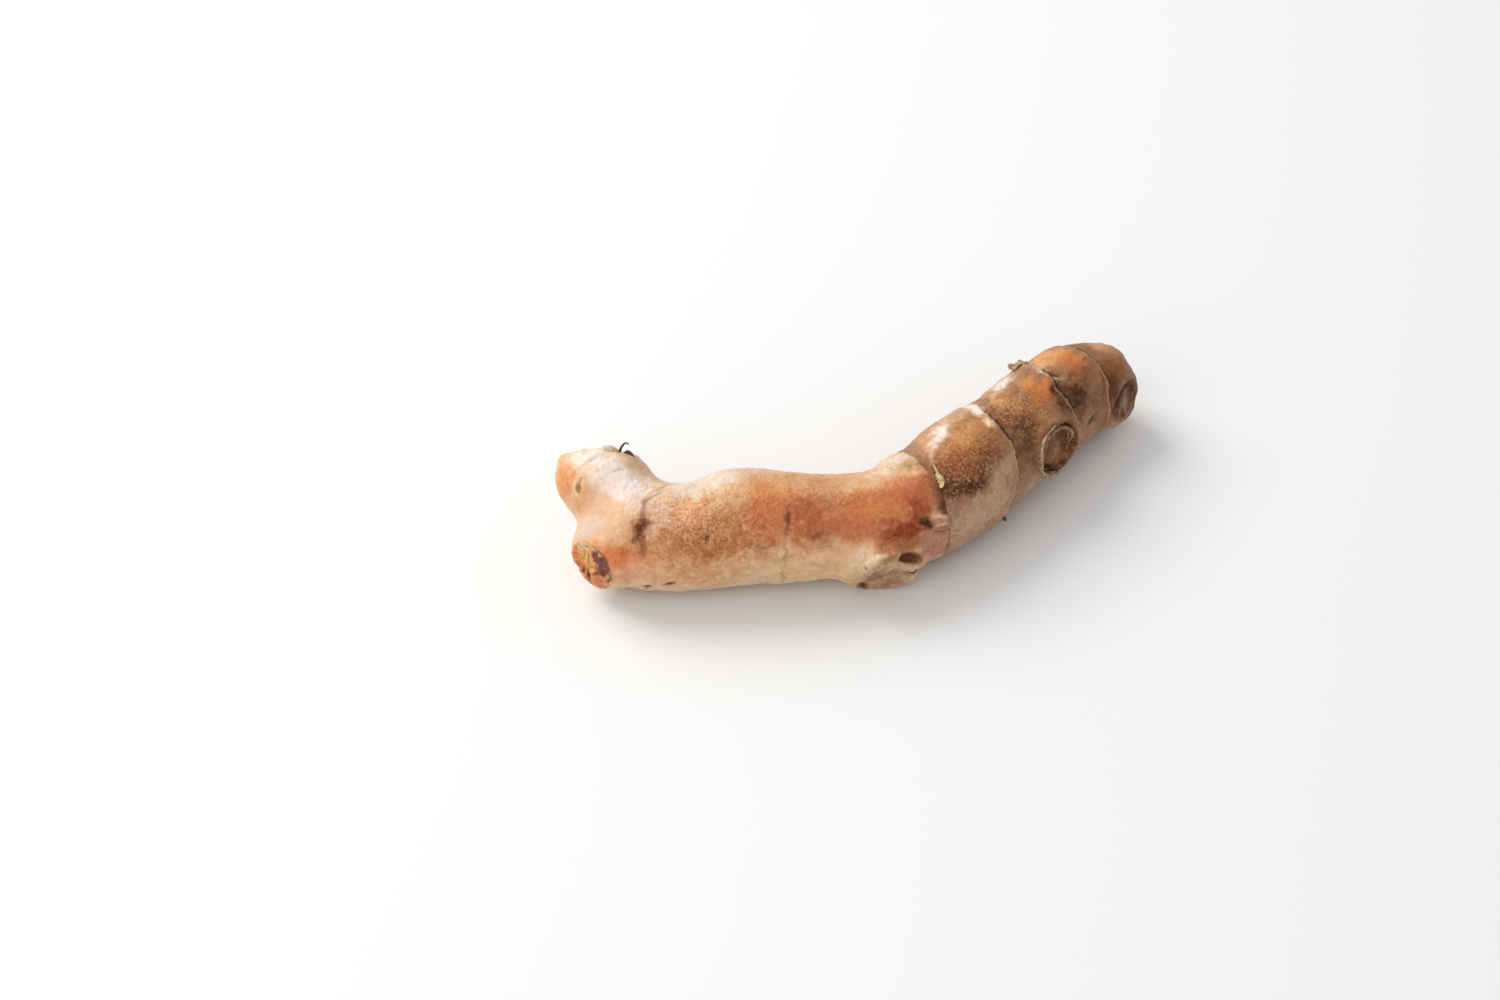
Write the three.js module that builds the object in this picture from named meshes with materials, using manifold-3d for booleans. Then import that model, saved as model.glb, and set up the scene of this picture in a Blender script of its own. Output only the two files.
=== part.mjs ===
// A fresh turmeric rhizome lying on a table: a bent, ringed body with a short finger at one end,
// a long finger at the other, and the round scars where its daughter fingers were broken off.
// Millimetres, +Z up. The origin is the middle of the footprint, on the table.
import * as THREE from 'three';
import Module from 'manifold-3d';

const wasm = await Module();
wasm.setup();

// Driving dimensions
const FOOTPRINT_CENTRE = [1.7, 14.2]; // moves the control points so that the origin is under the middle
const SETTLE = 0.3; // the soft root is pressed flat by this much where it touches the table
const SPLIT_GAP = 0.3; // clearance left at a fork, where the root is split into its pieces
const RING_RISE = 2.4; // how far before a ring its old leaf base begins to swell
const RING_FALL = 1.3; // how far past a ring the hollow under the leaf base reaches
const RING_HOLLOW = 0.45; // depth of that hollow, as a share of the lip's height
const SPINE_STEPS = 160; // samples of a centreline
const TABLE = new THREE.Vector3(0, 0, 1);

// A limb is a centreline of [x, y, z, radius] points, from its base to its tip.
// start and end say how far the rounded end reaches past the last point, or that it is a broken face.
// A ring is an old leaf scar: its distance along the limb, how far it leans towards an angle round the
// limb (0 is the near side, 90 the top), how far it bows there, and the height of its lip.
// A swell is a low lump: distance along, angle round, height, and its reach along and round in mm.
const body = {
  points: [
    [-36.6, -4.9, 9.6, 7.8], [-32.5, -5.2, 9.5, 9.1], [-25, -4.6, 9.5, 9.2], [-17.5, -3.2, 9.9, 9.8],
    [-10, -3.1, 9.9, 9.4], [-1.5, -2.6, 9.9, 8.7], [6, -0.8, 9.7, 8.8], [11.5, 2.0, 9.8, 9.3],
  ],
  start: { reach: 6.2 },
  end: { reach: 4 },
  rings: [
    { at: 4, lean: 2.1, toward: 150, bow: 3.2, lip: 0.25 },
    { at: 25.6, lean: 0.6, toward: 80, bow: 0.3, lip: 0.22 },
  ],
  swells: [
    { at: 17.5, around: 95, high: 0.9, along: 5, across: 7 },
    { at: 45, around: 25, high: 0.9, along: 6, across: 8 },
    { at: 47, around: 115, high: 0.8, along: 3.5, across: 6 },
  ],
};

const leftStub = {
  points: [[-37, -4.2, 9.4, 8], [-39.9, -7, 8.9, 6.9], [-42.4, -9.7, 8.3, 5.7], [-43.7, -11.2, 8.2, 4.8]],
  start: { reach: 6 },
  end: { dish: 0.8 },
  rings: [],
  swells: [],
};

const lowerKnob = {
  points: [[4.4, -0.8, 9.5, 8.6], [5, -5.3, 7.6, 7.8], [5.3, -9, 6.1, 6.8], [5.4, -10.7, 5.4, 5.9]],
  start: { reach: 5 },
  end: { dish: 0.7 },
  rings: [],
  swells: [],
};

const shortFinger = {
  points: [
    [-36.6, -3, 10.3, 7.4], [-39.4, 1, 13.2, 7.4], [-42.5, 4, 15.4, 7.4],
    [-43.6, 6, 17.2, 6.3], [-43.8, 7.2, 18.2, 4.5],
  ],
  start: { reach: 5 },
  end: { dish: 0.6 },
  rings: [],
  swells: [],
};

const longFinger = {
  points: [
    [12.6, 2.4, 9.7, 9.4], [19.4, 9.4, 9.9, 9.8], [27.6, 18.6, 9.8, 9.1], [34.9, 27.3, 9.6, 8.9],
    [40.7, 33.2, 9.4, 8.4], [46, 35.5, 8.9, 7.7],
  ],
  start: { reach: 5 },
  end: { reach: 5.4 },
  rings: [
    { at: 14, lean: 5, toward: 120, bow: 0, lip: 0.55 },
    { at: 32.7, lean: 0.5, toward: 120, bow: 0, lip: 0.45 },
    { at: 43, lean: 2.4, toward: 0, bow: 0, lip: 0.4 },
  ],
  swells: [{ at: 12, around: 150, high: 0.6, along: 6, across: 8 }],
};

const tipBud = {
  points: [[44.5, 35, 9, 6.2], [47.2, 33.8, 8.4, 5.7], [48.9, 32.1, 7.8, 5], [49.9, 30.8, 7.5, 4.2]],
  start: { reach: 3 },
  end: { dish: 0.6 },
  rings: [],
  swells: [],
};

const sideScar = {
  points: [[28.4, 23.9, 10.3, 6.8], [31.6, 20.2, 11, 6.6], [34.8, 16.8, 11.6, 6.3], [36.6, 14.9, 11.9, 5.5]],
  start: { reach: 4 },
  end: { dish: 0.8 },
  rings: [],
  swells: [],
};

// Points along a limb's centreline, with the radius and the three directions of its cross-section.
function spine(limb) {
  const [cx, cy] = FOOTPRINT_CENTRE;
  const centres = limb.points.map(([x, y, z]) => new THREE.Vector3(x - cx, y - cy, z - SETTLE));
  const radii = limb.points.map(([, , , r]) => new THREE.Vector3(r, 0, 0));
  const path = new THREE.CatmullRomCurve3(centres, false, 'catmullrom', 0.5);
  const girth = new THREE.CatmullRomCurve3(radii, false, 'catmullrom', 0.5);
  const samples = [];
  let along = 0;
  for (let i = 0; i <= SPINE_STEPS; i++) {
    const t = i / SPINE_STEPS;
    const centre = path.getPoint(t);
    if (i > 0) along += centre.distanceTo(samples[i - 1].centre);
    const forward = path.getTangent(t);
    const side = new THREE.Vector3().crossVectors(forward, TABLE).normalize();
    const up = new THREE.Vector3().crossVectors(side, forward);
    samples.push({ along, centre, forward, side, up, radius: girth.getPoint(t).x });
  }
  return samples;
}

// The spine at a distance along it, straight on past either end.
function spineAt(samples, along) {
  const last = samples.length - 1;
  let i = samples.findIndex((sample) => sample.along > along) - 1;
  if (along <= 0) i = 0;
  if (i < 0) i = last - 1;
  const a = samples[i];
  const b = samples[i + 1];
  const share = THREE.MathUtils.clamp((along - a.along) / (b.along - a.along), 0, 1);
  const beyond = Math.min(along, 0) + Math.max(along - samples[last].along, 0);
  const forward = a.forward.clone().lerp(b.forward, share);
  return {
    centre: a.centre.clone().lerp(b.centre, share).addScaledVector(forward, beyond),
    side: a.side.clone().lerp(b.side, share).normalize(),
    up: a.up.clone().lerp(b.up, share).normalize(),
    radius: THREE.MathUtils.lerp(a.radius, b.radius, share),
  };
}

// How far a ring's line lies from its middle, at an angle round the limb.
function ringLean(ring, angle) {
  const turn = angle - THREE.MathUtils.degToRad(ring.toward);
  return ring.lean * Math.cos(turn) + ring.bow * Math.cos(2 * turn);
}

// Each line of the grid leans as the rings beside it do, fading to none at the limb's ends.
function leanAt(rings, length, along, angle) {
  const stops = [{ at: 0, lean: 0 }, ...rings.map((ring) => ({ at: ring.at, lean: ringLean(ring, angle) })),
    { at: length, lean: 0 }];
  for (let i = 0; i + 1 < stops.length; i++) {
    const [a, b] = [stops[i], stops[i + 1]];
    if (along >= a.at && along <= b.at) {
      return THREE.MathUtils.mapLinear(along, a.at, b.at, a.lean, b.lean);
    }
  }
  return 0;
}

// The swelling before a ring and the hollow past it, before the grid leans.
function ringHeight(rings, along) {
  let height = 0;
  for (const ring of rings) {
    const past = along - ring.at;
    height += past < 0 ? ring.lip * Math.exp(past / RING_RISE) : -RING_HOLLOW * ring.lip * Math.exp(-past / RING_FALL);
  }
  return height;
}

function swellHeight(swells, along, angle, radius) {
  let height = 0;
  for (const swell of swells) {
    const turn = Math.atan2(Math.sin(angle - THREE.MathUtils.degToRad(swell.around)),
      Math.cos(angle - THREE.MathUtils.degToRad(swell.around)));
    const away = ((along - swell.at) / swell.along) ** 2 + ((turn * radius) / swell.across) ** 2;
    height += swell.high * Math.exp(-away);
  }
  return height;
}

// Lines of the grid along a limb: [distance along, share of the radius].
// Rounded ends follow a quarter ellipse, a broken face is a shallow dish, and rings get lines of their own.
function gridLines(limb, length, spacing) {
  const lines = [];
  const arcSteps = 5;
  for (let i = 1; i <= arcSteps; i++) {
    const turn = (i / arcSteps) * (Math.PI / 2);
    lines.push([-limb.start.reach * Math.cos(turn), Math.sin(turn)]);
  }
  const fixed = limb.rings.flatMap((ring) => [-2.6, -1.0, -0.2, 0.2, 1.3].map((offset) => ring.at + offset));
  const stops = [0, ...fixed.filter((along) => along > 0.6 && along < length - 0.6), length];
  for (let i = 0; i + 1 < stops.length; i++) {
    const count = Math.max(1, Math.round((stops[i + 1] - stops[i]) / spacing));
    for (let j = 1; j <= count; j++) {
      lines.push([THREE.MathUtils.lerp(stops[i], stops[i + 1], j / count), 1]);
    }
  }
  if (limb.end.reach) {
    for (let i = 1; i < arcSteps; i++) {
      const turn = (i / arcSteps) * (Math.PI / 2);
      lines.push([length + limb.end.reach * Math.sin(turn), Math.cos(turn)]);
    }
  } else {
    for (const share of [0.93, 0.8, 0.45]) {
      lines.push([length + 0.15 - limb.end.dish * (1 - share ** 4), share]);
    }
  }
  return lines;
}

// A closed skin round a limb: rings of corners from base to tip, with one point at each end.
function limbGeometry(limb, sectors, spacing, grow = 0) {
  const samples = spine(limb);
  const length = samples[samples.length - 1].along;
  const lines = gridLines(limb, length, spacing);
  const corners = [];
  const point = (along, share, angle) => {
    const flat = THREE.MathUtils.clamp(along, 0, length);
    const at = spineAt(samples, along + leanAt(limb.rings, length, flat, angle) * Math.min(share, 1));
    const relief = ringHeight(limb.rings, flat) + swellHeight(limb.swells, flat, angle, at.radius);
    const radius = (at.radius + relief) * share + grow;
    return at.centre.addScaledVector(at.side, radius * Math.cos(angle)).addScaledVector(at.up, radius * Math.sin(angle));
  };
  const startTip = spineAt(samples, -limb.start.reach - grow).centre;
  const endReach = limb.end.reach ? limb.end.reach + grow : 0.15 - limb.end.dish + grow;
  const endTip = spineAt(samples, length + endReach).centre;
  for (const [along, share] of lines) {
    for (let j = 0; j < sectors; j++) corners.push(point(along, share, (j / sectors) * 2 * Math.PI));
  }
  const first = corners.push(startTip) - 1;
  const last = corners.push(endTip) - 1;
  const faces = [];
  for (let j = 0; j < sectors; j++) {
    const k = (j + 1) % sectors;
    faces.push(first, j, k);
    for (let i = 0; i + 1 < lines.length; i++) {
      const [a, b] = [i * sectors, (i + 1) * sectors];
      faces.push(a + j, b + j, a + k, a + k, b + j, b + k);
    }
    const top = (lines.length - 1) * sectors;
    faces.push(last, top + k, top + j);
  }
  const geometry = new THREE.BufferGeometry().setFromPoints(corners);
  geometry.setIndex(faces);
  return geometry;
}

function solid(geometry) {
  return new wasm.Manifold(new wasm.Mesh({
    numProp: 3,
    vertProperties: new Float32Array(geometry.attributes.position.array),
    triVerts: new Uint32Array(geometry.index.array),
  }));
}

// The space under the table's top, which the resting root doesn't reach into.
function underTable() {
  const size = 200;
  const corners = [];
  for (const z of [-size, 0]) {
    for (const [x, y] of [[-1, -1], [1, -1], [1, 1], [-1, 1]]) {
      corners.push(new THREE.Vector3(x * size, y * size, z));
    }
  }
  const geometry = new THREE.BufferGeometry().setFromPoints(corners);
  geometry.setIndex([0, 2, 1, 0, 3, 2, 4, 5, 6, 4, 6, 7, 0, 1, 5, 0, 5, 4, 1, 2, 6, 1, 6, 5,
    2, 3, 7, 2, 7, 6, 3, 0, 4, 3, 4, 7]);
  return solid(geometry);
}

function mesh(name, manifold, colour) {
  const { vertProperties, triVerts } = manifold.getMesh();
  const geometry = new THREE.BufferGeometry();
  geometry.setAttribute('position', new THREE.BufferAttribute(new Float32Array(vertProperties), 3));
  geometry.setIndex(new THREE.BufferAttribute(new Uint32Array(triVerts), 1));
  geometry.computeVertexNormals();
  const material = new THREE.MeshStandardMaterial({ color: colour, roughness: 0.6, metalness: 0 });
  const piece = new THREE.Mesh(geometry, material);
  piece.name = name;
  return piece;
}

const table = underTable();
const main = solid(limbGeometry(body, 36, 2.2))
  .add(solid(limbGeometry(leftStub, 26, 2.4)))
  .add(solid(limbGeometry(lowerKnob, 26, 2.4)));
const mainWithGap = solid(limbGeometry(body, 36, 2.2, SPLIT_GAP))
  .add(solid(limbGeometry(leftStub, 26, 2.4, SPLIT_GAP)))
  .add(solid(limbGeometry(lowerKnob, 26, 2.4, SPLIT_GAP)));
const short = solid(limbGeometry(shortFinger, 28, 2.2)).subtract(mainWithGap);
const long = solid(limbGeometry(longFinger, 36, 2.2))
  .add(solid(limbGeometry(sideScar, 24, 2.2)))
  .add(solid(limbGeometry(tipBud, 20, 2.2)))
  .subtract(mainWithGap);

const rhizome = new THREE.Group();
rhizome.add(mesh('rhizome_body', main.subtract(table), 0xc99a6c));
rhizome.add(mesh('short_finger', short.subtract(table), 0xd9b994));
rhizome.add(mesh('long_finger', long.subtract(table), 0xa87950));

export default rhizome;
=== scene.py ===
import itertools
import math

import bpy
import numpy as np
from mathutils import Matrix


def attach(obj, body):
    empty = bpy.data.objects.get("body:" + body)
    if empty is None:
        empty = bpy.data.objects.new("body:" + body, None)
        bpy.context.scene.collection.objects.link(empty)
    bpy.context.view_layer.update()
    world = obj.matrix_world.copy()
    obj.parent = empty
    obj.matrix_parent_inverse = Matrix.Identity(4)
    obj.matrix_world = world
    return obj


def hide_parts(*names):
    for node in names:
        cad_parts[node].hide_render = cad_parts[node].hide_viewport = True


bl_info = {
    "name": "Turmeric Root",
    "version": (1, 0, 0),
    "blender": (4, 5, 0),
    "location": "3D View > Sidebar > Turmeric",
    "description": "Dresses a fresh turmeric root and lights it in a small studio",
    "category": "Object",
}

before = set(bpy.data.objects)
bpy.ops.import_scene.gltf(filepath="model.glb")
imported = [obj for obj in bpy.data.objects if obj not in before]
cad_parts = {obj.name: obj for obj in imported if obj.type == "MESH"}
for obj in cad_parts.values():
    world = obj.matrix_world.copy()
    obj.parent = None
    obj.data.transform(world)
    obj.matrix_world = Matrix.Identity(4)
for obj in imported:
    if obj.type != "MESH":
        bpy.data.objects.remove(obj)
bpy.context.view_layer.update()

# Lengths are in millimetres from the point that the root was drawn from. SHIFT is where the frame's origin,
# the middle of the footprint, lies from that point.
MM = 0.001
SHIFT = np.array([1.7, 14.2, 0.3])
SPINE_STEPS = 240
ROOT = "root"

# The root is seen from the front and above. Patches of colour are laid out in the plane that faces that way.
LOOK_DOWN = math.radians(42)
TOWARD = np.array([0.0, -math.cos(LOOK_DOWN), math.sin(LOOK_DOWN)])
UPWARD = np.array([0.0, math.sin(LOOK_DOWN), math.cos(LOOK_DOWN)])


class Limb:
    """A stretch of root round a centreline of (x, y, z, radius) points, from base to tip.
    Its ends are domes that reach past the last point, or a broken face hollowed by dish."""

    def __init__(self, points, start, end=None, dish=0.6, joins=3.0, rings=()):
        self.start = start
        self.end = end
        self.dish = dish
        self.joins = joins
        self.rings = rings
        rows = spline(np.array(points, float), SPINE_STEPS)
        self.centre = rows[:, :3]
        self.radius = rows[:, 3]
        self.forward = unit(np.gradient(self.centre, axis=0))
        self.side = unit(np.cross(self.forward, (0.0, 0.0, 1.0)))
        self.up = np.cross(self.side, self.forward)
        steps = np.linalg.norm(np.diff(self.centre, axis=0), axis=1)
        self.along = np.concatenate([[0.0], np.cumsum(steps)])
        self.length = self.along[-1]


class Ring:
    """A leaf scar round a limb, as high as lip and as deep as groove. line gives its distance along the limb
    at some angles in degrees, and strong its strength; both run straight between those angles."""

    def __init__(self, lip, groove, line, strong):
        self.lip = lip
        self.groove = groove
        self.line = line
        self.strong = strong

    def at(self, angle):
        return by_angle(self.line, angle)

    def strength(self, angle):
        return by_angle(self.strong, angle)


def by_angle(rows, angle):
    """The value at an angle: straight between rows of (degrees, value) and on round the circle."""
    degrees, values = zip(*rows)
    return np.interp(np.degrees(angle), degrees, values, period=360)


def unit(vectors):
    return vectors / np.linalg.norm(vectors, axis=-1, keepdims=True)


def spline(values, steps):
    """A curve through the rows of values: on each span a cubic whose slope at a row is half the step
    from the row before it to the row after it."""
    ends = np.vstack([2 * values[0] - values[1], values, 2 * values[-1] - values[-2]])
    t = np.linspace(0, len(values) - 1, steps)
    i = np.minimum(t.astype(int), len(values) - 2)
    u = (t - i)[:, None]
    before, start, end, after = ends[i], ends[i + 1], ends[i + 2], ends[i + 3]
    slope_a, slope_b = (end - before) / 2, (after - start) / 2
    return ((2 * u**3 - 3 * u**2 + 1) * start + (u**3 - 2 * u**2 + u) * slope_a
            + (3 * u**2 - 2 * u**3) * end + (u**3 - u**2) * slope_b)


LIMBS = {
    "body": Limb(
        [(-36.6, -4.9, 9.6, 7.8), (-32.5, -5.2, 9.5, 9.1), (-25, -4.6, 9.5, 9.2), (-17.5, -3.2, 9.9, 9.8),
         (-10, -3.1, 9.9, 9.4), (-1.5, -2.6, 9.9, 8.7), (6, -0.8, 9.7, 8.8), (11.5, 2.0, 9.8, 9.3)],
        start=6.2, end=4,
        rings=[
            Ring(0.13, 0.16,
                 [(-120, 0.8), (-60, 3.6), (-1, 3.6), (25, 2.7), (35.5, 2.2), (45.5, 1.0), (61, 0.4),
                  (83, 1.3), (99, 3.3), (127, 7.6), (180, 7.4)],
                 [(-120, 0.4), (0, 0.0), (15, 0.1), (28, 0.3), (50, 0.5), (85, 0.5), (150, 0.4)]),
            Ring(0.2, 0.16,
                 [(-120, 25.2), (-60, 25.3), (-13, 25.5), (5, 25.6), (20, 25.9), (55, 26.5), (110, 26.2),
                  (180, 25.8)],
                 [(-60, 0.3), (-15, 0.45), (0, 0.1), (12, 0.45), (28, 0.3), (50, 0.35), (62, 0.0),
                  (120, 0.0), (180, 0.4)]),
        ]),
    "left_stub": Limb(
        [(-37, -4.2, 9.4, 8), (-39.9, -7, 8.9, 6.9), (-42.4, -9.7, 8.3, 5.7), (-43.7, -11.2, 8.2, 4.8)],
        start=6, dish=0.8, joins=3.2),
    "lower_knob": Limb(
        [(4.4, -0.8, 9.5, 8.6), (5, -5.3, 7.6, 7.8), (5.3, -9, 6.1, 6.8), (5.4, -10.7, 5.4, 5.9)],
        start=5, dish=0.7, joins=3.0),
    "short_finger": Limb(
        [(-36.6, -3, 10.3, 7.4), (-39.4, 1, 13.2, 7.4), (-42.5, 4, 15.4, 7.4), (-43.6, 6, 17.2, 6.3),
         (-43.8, 7.2, 18.2, 4.5)],
        start=5, dish=0.6, joins=2.8),
    "long_finger": Limb(
        [(12.6, 2.4, 9.7, 9.4), (19.4, 9.4, 9.9, 9.8), (27.6, 18.6, 9.8, 9.1), (34.9, 27.3, 9.6, 8.9),
         (40.7, 33.2, 9.4, 8.4), (46, 35.5, 8.9, 7.7)],
        start=5, end=5.4,
        rings=[
            Ring(0.55, 0.36,
                 [(-120, 11.5), (-60, 9.4), (-19, 10.6), (4, 12.8), (23, 14.9), (39, 15.3), (56, 15.9),
                  (71.5, 16.4), (89, 17.1), (113, 18.6), (150, 18.2), (180, 16.5)],
                 [(-60, 0.7), (-15, 1.0), (10, 0.6), (30, 1.0), (50, 1.4), (90, 1.4), (110, 0.9),
                  (180, 0.5)]),
            Ring(0.5, 0.36,
                 [(-120, 32.5), (-60, 32.4), (-4, 32.4), (21, 32.3), (37, 31.9), (66.5, 32.3), (91, 33.4),
                  (117, 34.1), (160, 33.6)],
                 [(-60, 0.7), (0, 1.1), (40, 1.3), (90, 1.2), (120, 0.9), (180, 0.5)]),
            Ring(0.5, 0.42,
                 [(-120, 41.8), (-60, 44.2), (-6, 46), (19, 45.5), (41, 45.5), (64, 44.3), (85, 43.2),
                  (106, 42.2), (150, 40.9), (180, 40.6)],
                 [(-60, 0.6), (-6, 0.8), (40, 1.2), (90, 1.2), (110, 0.9), (180, 0.5)]),
        ]),
    "side_scar": Limb(
        [(28.4, 23.9, 10.3, 6.8), (31.6, 20.2, 11, 6.6), (34.8, 16.8, 11.6, 6.3), (36.6, 14.9, 11.9, 5.5)],
        start=4, dish=0.8, joins=1.5),
    "tip_bud": Limb(
        [(44.5, 35, 9, 6.2), (47.2, 33.8, 8.4, 5.7), (48.9, 32.1, 7.8, 5), (49.9, 30.8, 7.5, 4.2)],
        start=3, dish=0.6, joins=1.0),
}
MAIN_LIMBS = ("body", "left_stub", "lower_knob", "short_finger")
FINGER_LIMBS = ("long_finger", "side_scar", "tip_bud")

# The broken face that cuts off the long finger's end, as (middle, direction that it faces, radius, hollow).
TIP_FACE = ((49.4, 29.9, 9.6), (0.86, -0.5, 0.06), 4.2, 0.5)

# How softly limbs share a place, how softly a broken face takes over from the side of its limb, and how
# far the corners of the broken faces and of the tip's face are rounded.
LIMB_BLEND = 0.7
FACE_BLEND = 0.22
FACE_CORNER = 0.6
TIP_CORNER = 0.7


class Place:
    """Where points lie on one limb: distance along it, angle round it, distance from its middle line
    and the radius there, found from the nearest place of the middle line."""

    def __init__(self, limb, points):
        last = len(limb.along) - 1
        gaps = -2 * points @ limb.centre.T + (limb.centre**2).sum(1)
        near = gaps.argmin(1)
        ahead = ((points - limb.centre[near]) * limb.forward[near]).sum(1)
        where = np.clip(near + ahead / np.gradient(limb.along)[near], 0, last)
        self.low = np.minimum(where.astype(int), last - 1)
        self.part = where - self.low
        forward = self.blend(limb.forward)
        offset = points - self.blend(limb.centre)
        beyond = (offset * forward).sum(1)
        offset = offset - beyond[:, None] * forward
        past_end = (where <= 0) | (where >= last)
        self.along = self.blend(limb.along) + np.where(past_end, beyond, 0)
        x = (offset * self.blend(limb.side)).sum(1)
        y = (offset * self.blend(limb.up)).sum(1)
        self.angle = np.arctan2(y, x)
        self.out = np.hypot(x, y)
        self.radius = self.blend(limb.radius)

    def blend(self, rows):
        part = self.part[:, None] if rows.ndim > 1 else self.part
        return rows[self.low] * (1 - part) + rows[self.low + 1] * part


def smooth_least(a, b, reach):
    """The lesser of a and b, with the corner where they cross rounded over reach."""
    near = np.maximum(reach - np.abs(a - b), 0) / reach
    return np.minimum(a, b) - near * near * reach / 4


def greater_share(first, second):
    """0 where first is well below second and 1 where it is well above, with a soft step between."""
    return 1 / (1 + np.exp(-np.clip((first - second) / FACE_BLEND, -30, 30)))


def limb_gap(limb, place):
    """How far points lie outside a limb, and how much each belongs to its broken face.
    Domes are half ellipsoids; a broken face is a shallow dish whose edge is rounded."""
    out = place.out / place.radius
    before = np.maximum(-place.along, 0) / limb.start
    gap = place.radius * (np.sqrt(out**2 + before**2) - 1)
    if limb.end:
        past = np.maximum(place.along - limb.length, 0) / limb.end
        gap = np.where(past > 0, place.radius * (np.sqrt(out**2 + past**2) - 1), gap)
        return gap, np.zeros(len(gap))
    face = place.along - limb.length + limb.dish * (1 - np.clip(out, 0, 1)**4)
    return -smooth_least(-gap, -face, FACE_CORNER), greater_share(face, gap)


class Skin:
    """The joined surface of several limbs near some points: its gap is the smooth least of theirs."""

    def __init__(self, names, points):
        self.places = {}
        self.faces = {}
        gaps = []
        self.gap = None
        for name in names:
            limb = LIMBS[name]
            place = Place(limb, points)
            gap, face = limb_gap(limb, place)
            self.places[name] = place
            self.faces[name] = face
            gaps.append(gap)
            self.gap = gap if self.gap is None else smooth_least(self.gap, gap, limb.joins)
        shares = np.exp(-np.clip((np.array(gaps) - np.min(gaps, axis=0)) / LIMB_BLEND, 0, 40))
        shares /= shares.sum(0)
        self.shares = dict(zip(names, shares))
        self.cut = np.zeros(len(points))
        if "tip_bud" in names:
            self.gap, self.cut = cut_off(self.gap, points, *TIP_FACE)


def cut_off(gap, points, middle, facing, radius, hollow):
    """Takes a flat slice off a shape: the greater of its gap and the height over a plane, which is hollowed
    round its middle. Also gives how much each point belongs to the slice."""
    offset = points - middle
    facing = unit(np.array(facing))
    high = offset @ facing
    away = np.linalg.norm(offset - high[:, None] * facing, axis=1) / radius
    plane = high + hollow * (1 - np.clip(away, 0, 1)**4)
    return -smooth_least(-gap, -plane, TIP_CORNER), greater_share(plane, gap)


def limb_tube(limb, sectors=48, spacing=0.8):
    """A closed skin round a limb: circles carried along its middle line, drawn in to a point at both ends
    along a quarter ellipse or across the broken face. Rows run along it and columns round it."""
    bend = np.linspace(0, math.pi / 2, 8)
    spans = max(2, round(limb.length / spacing))
    along = [-limb.start * np.cos(bend), np.linspace(0, limb.length, spans + 1)[1:]]
    share = [np.sin(bend), np.ones(spans)]
    if limb.end:
        along.append(limb.length + limb.end * np.sin(bend[1:]))
        share.append(np.cos(bend[1:]))
    else:
        inward = np.array([0.9, 0.6, 0.3, 0.0])
        along.append(np.full(len(inward), limb.length))
        share.append(inward)
    along, share = np.concatenate(along), np.concatenate(share)
    angle = np.arange(sectors) * 2 * math.pi / sectors
    points = limb_point(limb, along[:, None], angle[None, :], share[:, None])
    return points.reshape(-1, 3), grid_faces(len(along), sectors)


def limb_point(limb, along, angle, share):
    """Points round a limb: its middle line at along, carried straight on past its ends, plus share of the
    radius in the direction of angle."""
    flat = np.clip(along, 0, limb.length)

    def at(rows):
        return np.stack([np.interp(flat, limb.along, rows[:, i]) for i in range(3)], axis=-1)

    reach = np.interp(flat, limb.along, limb.radius) * share
    centre = at(limb.centre) + at(limb.forward) * (along - flat)[..., None]
    around = at(limb.side) * np.cos(angle)[..., None] + at(limb.up) * np.sin(angle)[..., None]
    return centre + around * reach[..., None]


def grid_faces(rows, columns, closed=True, ring=False):
    """The quads of a grid of rows by columns as corner numbers. It is joined round its columns when closed,
    and its last row to its first when ring."""
    down = np.arange(rows if ring else rows - 1)
    aside = np.arange(columns if closed else columns - 1)
    row, column = np.meshgrid(down, aside, indexing="ij")
    below = (row + 1) % rows
    after = (column + 1) % columns
    quads = [row * columns + column, below * columns + column,
             below * columns + after, row * columns + after]
    return np.stack(quads, axis=-1).reshape(-1, 4)


def mesh_from(name, points, faces):
    """A Blender mesh from corners in millimetres and faces as corner numbers."""
    mesh = bpy.data.meshes.new(name)
    mesh.from_pydata(((np.asarray(points) - SHIFT) * MM).tolist(), [], [list(face) for face in faces])
    mesh.update()
    return mesh


def placed(name, data):
    """A new object for a mesh, a camera or a light, put into the scene."""
    thing = bpy.data.objects.new(name, data)
    bpy.context.scene.collection.objects.link(thing)
    return thing


def smooth_piece(name, points, faces):
    """A smoothly shaded object from corners in millimetres and faces as corner numbers."""
    mesh = mesh_from(name, points, faces)
    mesh.shade_smooth()
    return placed(name, mesh)


def joined_limbs(name, limbs, voxel):
    """One closed mesh round all the limbs: their tubes are remeshed together on a grid of voxels."""
    corners, faces, count = [], [], 0
    for limb in limbs:
        points, quads = limb_tube(limb)
        if limb is LIMBS["tip_bud"]:
            middle, facing = TIP_FACE[:2]
            facing = unit(np.array(facing))
            points -= np.maximum((points - middle) @ facing, 0)[:, None] * facing
        corners.append(points)
        faces.append(quads + count)
        count += len(points)
    rough_mesh = mesh_from(name + "_rough", np.vstack(corners), np.vstack(faces).tolist())
    rough = placed(name + "_rough", rough_mesh)
    rough_mesh.validate()
    weld = rough.modifiers.new("weld", "WELD")
    weld.merge_threshold = 0.01 * MM
    remesh = rough.modifiers.new("remesh", "REMESH")
    remesh.mode = "VOXEL"
    remesh.voxel_size = voxel
    graph = bpy.context.evaluated_depsgraph_get()
    mesh = bpy.data.meshes.new_from_object(rough.evaluated_get(graph))
    mesh.name = name
    bpy.data.objects.remove(rough)
    bpy.data.meshes.remove(rough_mesh)
    return mesh


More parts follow.
